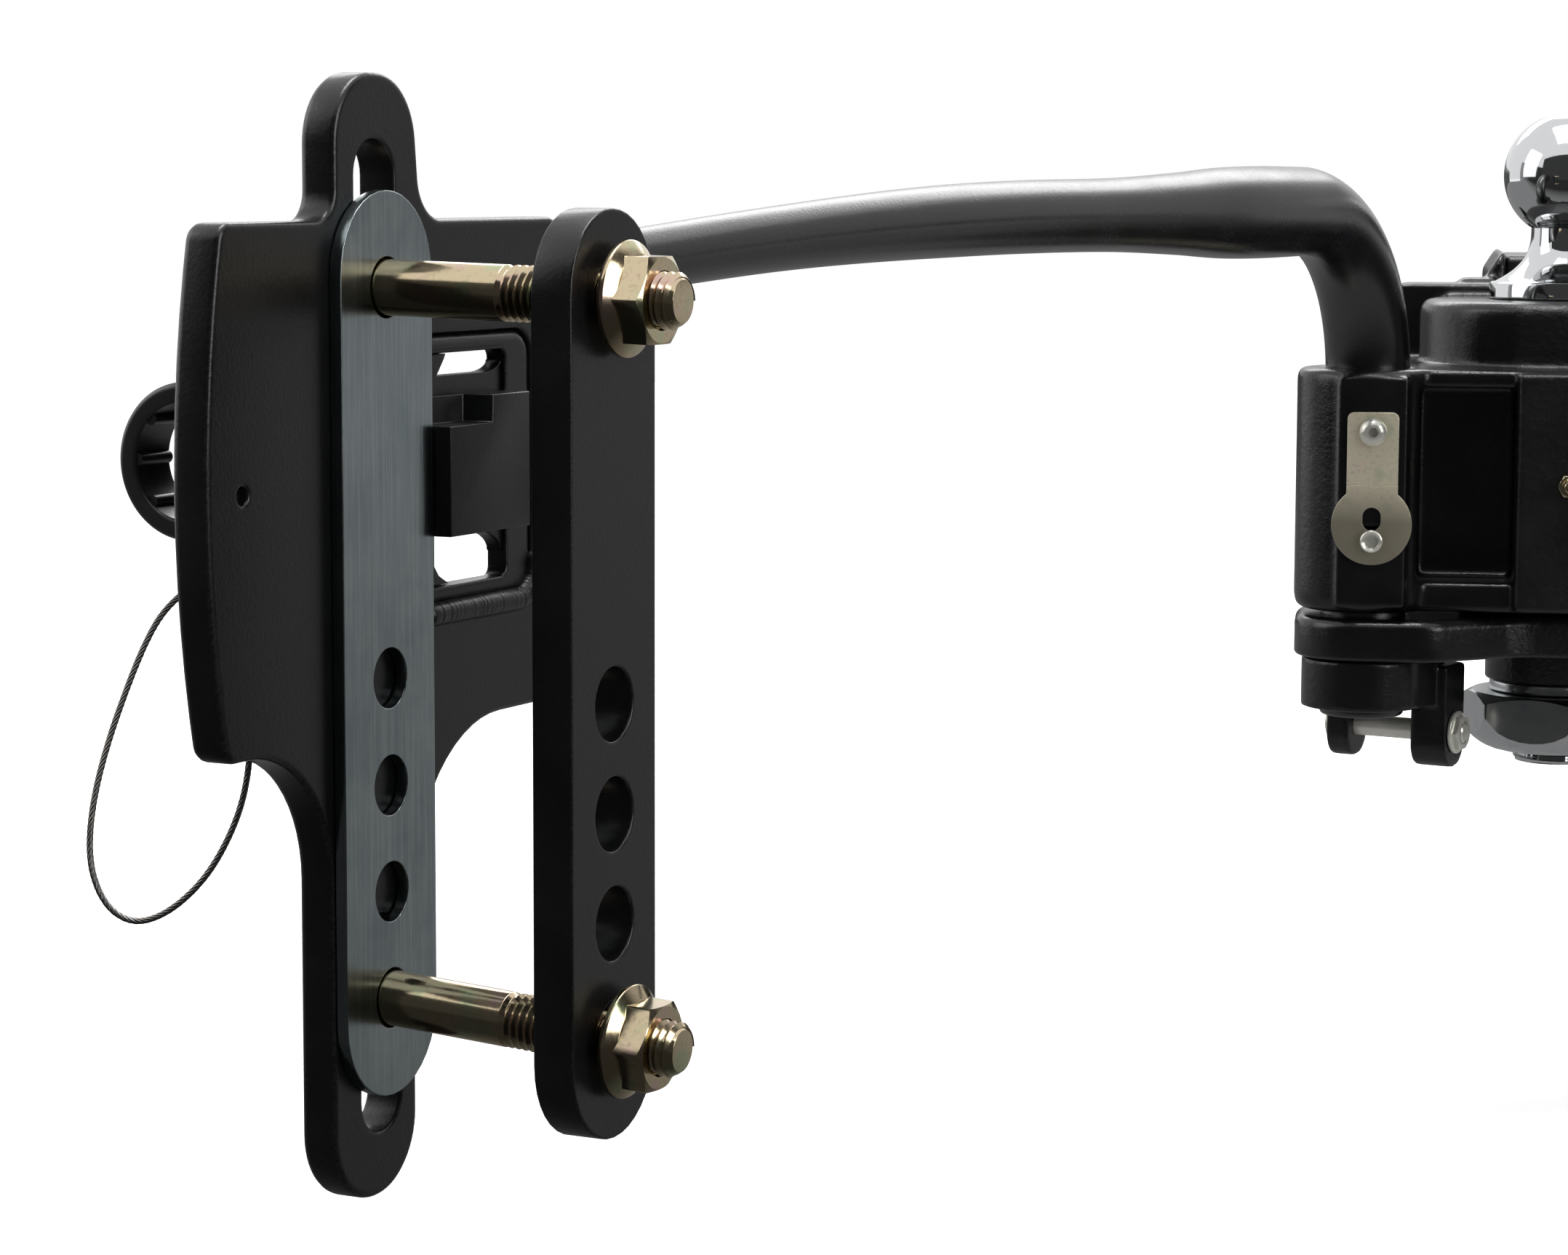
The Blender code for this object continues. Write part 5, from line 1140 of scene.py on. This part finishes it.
def head_shape():
    low, top = -0.198, -0.088
    body = box((-0.076, -0.088, low), (0.076, 0.04, top))
    joins = [lathe([(0, -0.058), (0.062, -0.058), (0.065, -0.0592), (0.0666, -0.0616), (0.067, -0.064),
                    (0.067, -0.092), (0, -0.092)], 96),
             lathe([(0, low + 0.01), (0.045, low + 0.01), (0.045, -0.2033), (0, -0.2033)], 72),
             box((-0.0237, -0.094, low + 0.001), (0.0237, -0.078, top - 0.001))]
    wall = rounded([(-0.078, low + 0.002, 0), (0.078, low + 0.002, 0), (0.078, -0.052, 0.004),
                    (-0.078, -0.052, 0.004)], 5)
    joins.append(prism(wall, "Y", 0.0361, 0.06))
    bore = [(0, -0.3), (BORE, -0.3), (BORE, 0), (0, 0)]
    cuts = [box((-0.02555, 0.06015, low - 0.01), (0.02555, 0.33, 0.0)), lathe(bore, 64)]
    for side in (-1, 1):
        socket = at(side * SOCKET_OUT, -SOCKET_AFT, 0)
        barrel = lathe([(0, -0.0875), (0.0295, -0.0875), (0.032, -0.09), (0.032, -0.1925),
                        (0.0311, -0.1962), (0.029, -0.198), (0.0265, -0.1985), (0, -0.1985)], 72)
        joins.append(moved(barrel, socket))
        latch = socket @ at(-side * LATCH_IN, 0, 0)
        joins.append(moved(box((-0.0155, -0.0325, low + 0.0025), (0.0155, -0.016, top - 0.0025)), latch))
        cheek = rounded([(0.05, low + 0.006, 0), (0.15, low + 0.006, 0.012), (0.15, -0.0367, 0.012),
                         (0.05, -0.0367, 0.008)], 6)
        joins.append(prism(cheek, "X", *sorted((side * 0.0257, side * 0.0342))))
        near, far = sorted((side * 0.03, side * 0.0475))
        joins.append(box((near, 0.044, -0.06), (far, 0.06, -0.0495)))
        slope = [(side * 0.035, -0.0485), (side * 0.0275, -0.036), (side * 0.04, -0.036)]
        cuts.append(prism(slope, "Y", 0.045, 0.16))
        near, far = sorted((side * 0.0237, side * 0.0677))
        cuts.append(box((near, -0.098, -0.1845), (far, -0.058, -0.096)))
        cuts.append(moved(lathe(bore, 64), socket))
        cuts.append(moved(box((-0.006, -0.06, -0.1719), (0.006, 0, -0.1584)), latch))
    for drop in SHANK_BOLTS.values():
        hole = lathe([(0, -0.07), (SHANK_HOLE, -0.07), (SHANK_HOLE, 0.07), (0, 0.07)], 40)
        cuts.append(moved(hole, at(0, SHANK_BOLT_FORWARD, -drop) @ ALONG_X))
    return forged("head", body, joins, cuts, voxel=0.0014, passes=10)


piece("head_casting", head_shape(), cast_paint, "head", HEAD_PLACE, 60, node="head_body")

# %% [markdown]
# The plate under the head ties ball and sockets together. Its upper edge is rolled over in a wide round
# that shows one long highlight.

# %% Lower plate
wide, rear, end = 0.1224, -0.1014, 0.0314 * 0.98
outline = rounded([(-wide, rear, end), (-0.0596, rear, 0.02), (-0.019, -0.072, 0.03),
                   (0.019, -0.072, 0.03), (0.0596, rear, 0.02), (wide, rear, end), (wide, -0.0386, end),
                   (0.052, 0.052, 0.03), (-0.052, 0.052, 0.03), (-wide, -0.0386, end)], 20)
holes = [circle(BORE, 64, (side * SOCKET_OUT, -SOCKET_AFT)) for side in SIDES.values()]
holes.append(circle(0.0194, 64))
plate = slab(outline, holes, -0.2201, -0.201, "Z", rim=0.0048, rim_low=0.002, hole_rim=0.0008, steps=8)
boss = lathe([(0.0197, -0.2185, 0), (0.0328, -0.2185, 0), (0.0328, -0.2382, 0.0015),
              (0.0197, -0.2382, 0.0005)], 80, closed=True)
piece("lower_plate", together(plate, boss), cast_paint, "head", HEAD_PLACE, 50)

# %% [markdown]
# The ball is turned and chromed: a sphere, a waisted neck and a flange on one threaded shank, held
# from below by a thick washer and a large nut.


# %% Tow ball
def ball_shape():
    radius, neck, flange_top = 0.02935, 0.016, -0.0495
    first, last = math.radians(24), math.pi - math.asin(neck / radius)
    angles = [first + (last - first) * k / 40 for k in range(41)]
    profile = [(radius * math.sin(angle), radius * math.cos(angle)) for angle in angles]
    profile = [(0, profile[0][1])] + profile
    base = profile[-1][1]
    profile += [(neck + 0.0163 * (k / 14) ** 3, base - (base - flange_top) * k / 14) for k in range(1, 15)]
    profile += [(0.0338, -0.0497), (0.0347, -0.0503), (0.035, -0.0512), (0.035, -0.0568), (0.0342, -0.0577),
                (0.01905, -0.0577), (0.01905, -0.225), (0.0178, -0.2262), (0.0178, -0.2773),
                (0.0162, -0.2777), (0, -0.2777)]
    return lathe(profile, 96)


ridge = threaded("ball_thread", chrome, 0.019, -0.2765, -0.2262, 0.0025)
piece("tow_ball", together(ball_shape(), ridge), chrome, "head", HEAD_PLACE, 30)
washer = lathe([(0.0194, -0.2385, 0.0004), (0.0305, -0.2385, 0.0008), (0.0305, -0.2435, 0.0008),
                (0.0194, -0.2435, 0.0004)], 80, closed=True)
piece("ball_washer", washer, zinc_plate, "head", HEAD_PLACE)
piece("ball_nut", hex_nut(0.0794, -0.2722, -0.2438, 0.0194, 0.0022, 0.023), zinc_plate, "head",
      HEAD_PLACE @ Matrix.Rotation(math.radians(-17.4), 4, "Z"), 28)

# %% [markdown]
# A latch holds each bar in its socket: a sprung leaf, screwed on at its top, bends into a disc whose
# pin reaches into a groove in the bar. A finger under the disc pulls the pin out.


# %% Latches
LATCH_HALF = 0.0115
LATCH_HOLE = 0.0033
LATCH_FACE = -0.0348
SCREW_LEVEL = -0.1151
PIN_LEVEL = -0.0251


def hex_socket_screw():
    """Button head about z, its crown to -z, with a six-sided recess."""
    dome = lathe([(0.003, 0.03), (0.003, 0.0), (0.0064, 0.0), (0.0064, -0.001), (0.006, -0.0022),
                  (0.005, -0.0034), (0.0036, -0.0043), (0.0028, -0.0045)], 48)
    recess = prism(circle(0.0042 / math.sqrt(3), 6), "Z", -0.006, -0.0018)
    return forged("button_screw", dome, [], [recess])


def disc_shape():
    radius, half, neck = 0.0181, LATCH_HALF, 0.004
    drop = math.sqrt(radius ** 2 - half ** 2)
    first = math.asin(drop / radius)
    edge = [(half, 0.0)] + arc(radius, first, -math.pi - first, 56, (0.0, -neck - drop)) + [(-half, 0.0)]
    slot = stadium(0.0041, -0.0206, -0.01)
    hole = circle(LATCH_HOLE, 24, (0, PIN_LEVEL))
    disc = slab(edge, [slot, hole], 0.0, 0.002, "Y", rim=0.0002, hole_rim=0.0002)
    for x in (-half, half):
        every = disc.verts[:] + disc.edges[:] + disc.faces[:]
        bmesh.ops.bisect_plane(disc, geom=every, plane_co=(x, 0, 0), plane_no=(1, 0, 0))
    for vert in disc.verts:
        past = max(abs(vert.co.x) - half, 0.0)
        vert.co.y += past * 0.22
    return disc


for name, side in SIDES.items():
    latch = socket_place(side) @ at(-side * LATCH_IN, 0, 0)
    outline = rounded([(-LATCH_HALF, -0.1392, 0), (LATCH_HALF, -0.1392, 0), (LATCH_HALF, -0.1063, 0.003),
                       (-LATCH_HALF, -0.1063, 0.003)])
    hole = circle(LATCH_HOLE, 24, (0, SCREW_LEVEL))
    leaf = slab(outline, [hole], LATCH_FACE, -0.0328, "Y", rim=0.0002)
    piece(f"latch_leaf_{name}", leaf, latch_steel, "head", latch)
    piece(f"latch_screw_{name}", hex_socket_screw(), pale_zinc, "head",
          latch @ at(0, -0.0351, SCREW_LEVEL) @ ALONG_Y)
    hinge = latch @ at(0, LATCH_FACE, -0.1393)
    piece(f"latch_disc_{name}", disc_shape(), latch_steel, f"latch_{name}", hinge)
    pin = lathe([(0, -0.0012), (0.0026, -0.0012), (0.0034, -0.0016), (0.0036, -0.003), (0.0044, -0.0034),
                 (0.005, -0.003), (0.00515, -0.0022), (0.00515, -0.0003), (0.003, -0.0003),
                 (0.003, 0.0185), (0, 0.0185)], 40)
    piece(f"latch_pin_{name}", pin, pale_zinc, f"latch_{name}", hinge @ at(0, 0, PIN_LEVEL) @ ALONG_Y)

# %% [markdown]
# The shank is a square drawbar welded to an upright that the head's cheeks straddle. Two bolts hold it.
# The grease fitting is small and stands on the head's middle rib.

# %% Shank, its bolts and the grease fitting
outline = [(0.0603, -0.24), (0.1443, -0.24), (0.1443, -0.1754), (0.33, -0.1754), (0.33, -0.1246),
           (0.1443, -0.1246), (0.1443, -0.039), (0.0603, -0.039)]
outline = rounded([(y, z, 0.004) for y, z in outline], 5)
holes = [circle(SHANK_HOLE, 40, (SHANK_BOLT_FORWARD, -drop)) for drop in SHANK_BOLTS.values()]
holes.append(circle(0.008, 40, (0.2665, -0.15)))
shank = slab(outline, holes, -0.0254, 0.0254, "X", rim=0.0022, hole_rim=0.0008)
piece("shank", shank, black_paint, "head", HEAD_PLACE)
for name, drop in SHANK_BOLTS.items():
    place = HEAD_PLACE @ at(0, SHANK_BOLT_FORWARD, -drop) @ ALONG_X
    rod = lathe([(0, -0.0457, 0), (0.0092, -0.0457, 0.0008), (0.0095, -0.0345, 0.0003),
                 (0.0095, 0.03, 0.0003), (0.0085, 0.031, 0.0003), (0.0085, 0.056, 0.0003),
                 (0.0075, 0.0573, 0.0002), (0, 0.0573, 0)], 40)
    ridge = threaded(f"shank_thread_{name}", zinc_plate, 0.0095, 0.031, 0.0562, 0.002)
    head = hex_nut(0.0286, -0.0459, -0.0345, 0.0085, 0.001)
    piece(f"shank_bolt_{name}", together(rod, ridge, head), zinc_plate, "head", place, 28)
    nut = hex_nut(0.0286, 0.0345, 0.0527, SHANK_HOLE, 0.001)
    piece(f"shank_nut_{name}", nut, zinc_plate, "head", place, 28)
stem = lathe([(0, 0.008, 0), (0.003, 0.008, 0.0003), (0.003, -0.006, 0.0006), (0.0021, -0.0078, 0.0006),
              (0.0021, -0.009, 0.0006), (0.0032, -0.01, 0.0008), (0.0028, -0.0116, 0.0008),
              (0.001, -0.012, 0.0002), (0, -0.0116, 0)], 32)
collar = hex_nut(0.0096, -0.005, -0.0003, 0.0025, 0.0005)
piece("grease_fitting", together(stem, collar), yellow_zinc, "head",
      HEAD_PLACE @ at(0, -0.094, -0.139) @ ALONG_Y, 30)

# %% [markdown]
# The studio is a pale floor, a white surround and four large soft lights: one on each side, one above,
# and one behind that draws the bright lines along the upper edges. The surround is white only to the
# camera and to reflections. Black paint shows what it mirrors, so shaded cards stand on all four sides
# and one lies just over the floor. Only reflections see them. They keep the faces that look there dark.


# %% Studio
def white_to_the_eye(tree, level):
    """Strength that is white for the camera, mirrors and glass, and a plain level for other light."""
    path = add_node(tree, "ShaderNodeLightPath").outputs
    best = path["Is Camera Ray"]
    for label in ("Is Glossy Ray", "Is Transmission Ray"):
        best = add_node(tree, "ShaderNodeMath", {"operation": "MAXIMUM"},
                        {0: best, 1: path[label]}).outputs[0]
    mix = add_node(tree, "ShaderNodeMapRange", None, {"Value": best, "To Min": level, "To Max": 1.0})
    return mix.outputs[0]


def plane(name, corners, finish):
    mesh = bpy.data.meshes.new(name)
    mesh.from_pydata(corners, [], [(0, 1, 2, 3)])
    mesh.materials.append(finish)
    made = put(name, mesh)
    return made


def lamp(name, spot, aim, size, power):
    light = bpy.data.lights.new(name, "AREA")
    light.shape = "RECTANGLE"
    light.size, light.size_y = size
    light.energy = power
    made = put(name, light)
    made.location = spot
    made.rotation_euler = (Vector(aim) - Vector(spot)).to_track_quat("-Z", "Y").to_euler()


world = bpy.data.worlds.new("surround")
world.use_nodes = True
bpy.context.scene.world = world
sky = world.node_tree.nodes["Background"]
sky.inputs["Color"].default_value = (1.0, 1.0, 1.0, 1.0)
world.node_tree.links.new(white_to_the_eye(world.node_tree, 0.28), sky.inputs["Strength"])

floor_paint = Finish("pale_floor", Roughness=0.9, Specular_IOR_Level=0.0)
east, north = [floor_paint.node("SeparateXYZ", None, {0: floor_paint.place}, axis) for axis in ("X", "Y")]
away = ((east + 0.2) ** 2.0 + (north + 0.7) ** 2.0) ** 0.5
glow = floor_paint.blend(away.above(0.5, 1.4), (0.5, 0.5, 0.5), (1.0, 1.0, 1.0))
floor_paint.set("Emission Color", glow)
floor_paint.set("Emission Strength", white_to_the_eye(floor_paint.tree, 0.0))
cloud = floor_paint.grain(3.0)
floor_paint.wear(floor_paint.blend(cloud, (0.8, 0.8, 0.8), (0.82, 0.82, 0.82)))
FLOOR = -0.3
plane("floor", [(-6, -6, FLOOR), (6, -6, FLOOR), (6, 6, FLOOR), (-6, 6, FLOOR)], floor_paint.material)


def card(name, corners, dark, light=None, axis="Y", low=0.0, high=1.0):
    """Card that only reflections see, shaded from dark to light along an axis."""
    paint = Finish(f"{name}_paint", Base_Color=(0, 0, 0, 1), Specular_IOR_Level=0.0, Emission_Strength=1.0)
    share = paint.node("SeparateXYZ", None, {0: paint.place}, axis).above(low, high)
    light = dark if light is None else light
    paint.set("Emission Color", paint.blend(share, (dark,) * 3, (light,) * 3))
    made = plane(name, corners, paint.wear())
    made.visible_camera = False
    made.visible_shadow = False
    made.visible_diffuse = False


LEFT, RIGHT, NEAR, FAR, HIGH = -3.6, 2.5, -3.4, 3.6, 2.6


def upright(first, second, top):
    """Corners of a card that stands on the floor between two points."""
    return [(*first, FLOOR), (*second, FLOOR), (*second, top), (*first, top)]


flat = [(x, y, FLOOR + 0.004) for x, y in ((LEFT, NEAR), (RIGHT, NEAR), (RIGHT, 2.9), (LEFT, 2.9))]
card("card_front", upright((LEFT, NEAR), (RIGHT, NEAR), HIGH), 0.05)
card("card_right", upright((RIGHT, NEAR), (RIGHT, FAR), HIGH), 0.04, 0.45, "Y", -0.2, 1.0)
card("card_left", upright((LEFT, NEAR), (LEFT, 0.2), 1.2), 0.04, 0.4, "Y", -1.2, 0.2)
card("card_under", flat, 0.03, 0.28, "Y", -1.2, -0.6)
card("card_back", upright((LEFT, 3.0), (RIGHT, 3.0), 0.4), 0.1, 0.4, "Z", 0.2, 0.4)

lamp("right_softbox", (1.9, -1.9, 0.9), (-0.2, -0.7, 0.05), (1.3, 1.6), 26.0)
lamp("left_softbox", (-2.1, -0.9, 0.8), (-0.1, -0.6, 0.05), (1.2, 1.6), 9.0)
lamp("top_softbox", (-0.3, -0.6, 2.2), (-0.2, -0.6, 0.0), (1.6, 0.7), 34.0)
lamp("back_softbox", (-0.3, 1.7, 1.5), (-0.2, -0.6, 0.1), (2.6, 0.8), 22.0)
bpy.context.scene.view_settings.view_transform = "Standard"
print("floor at", FLOOR)
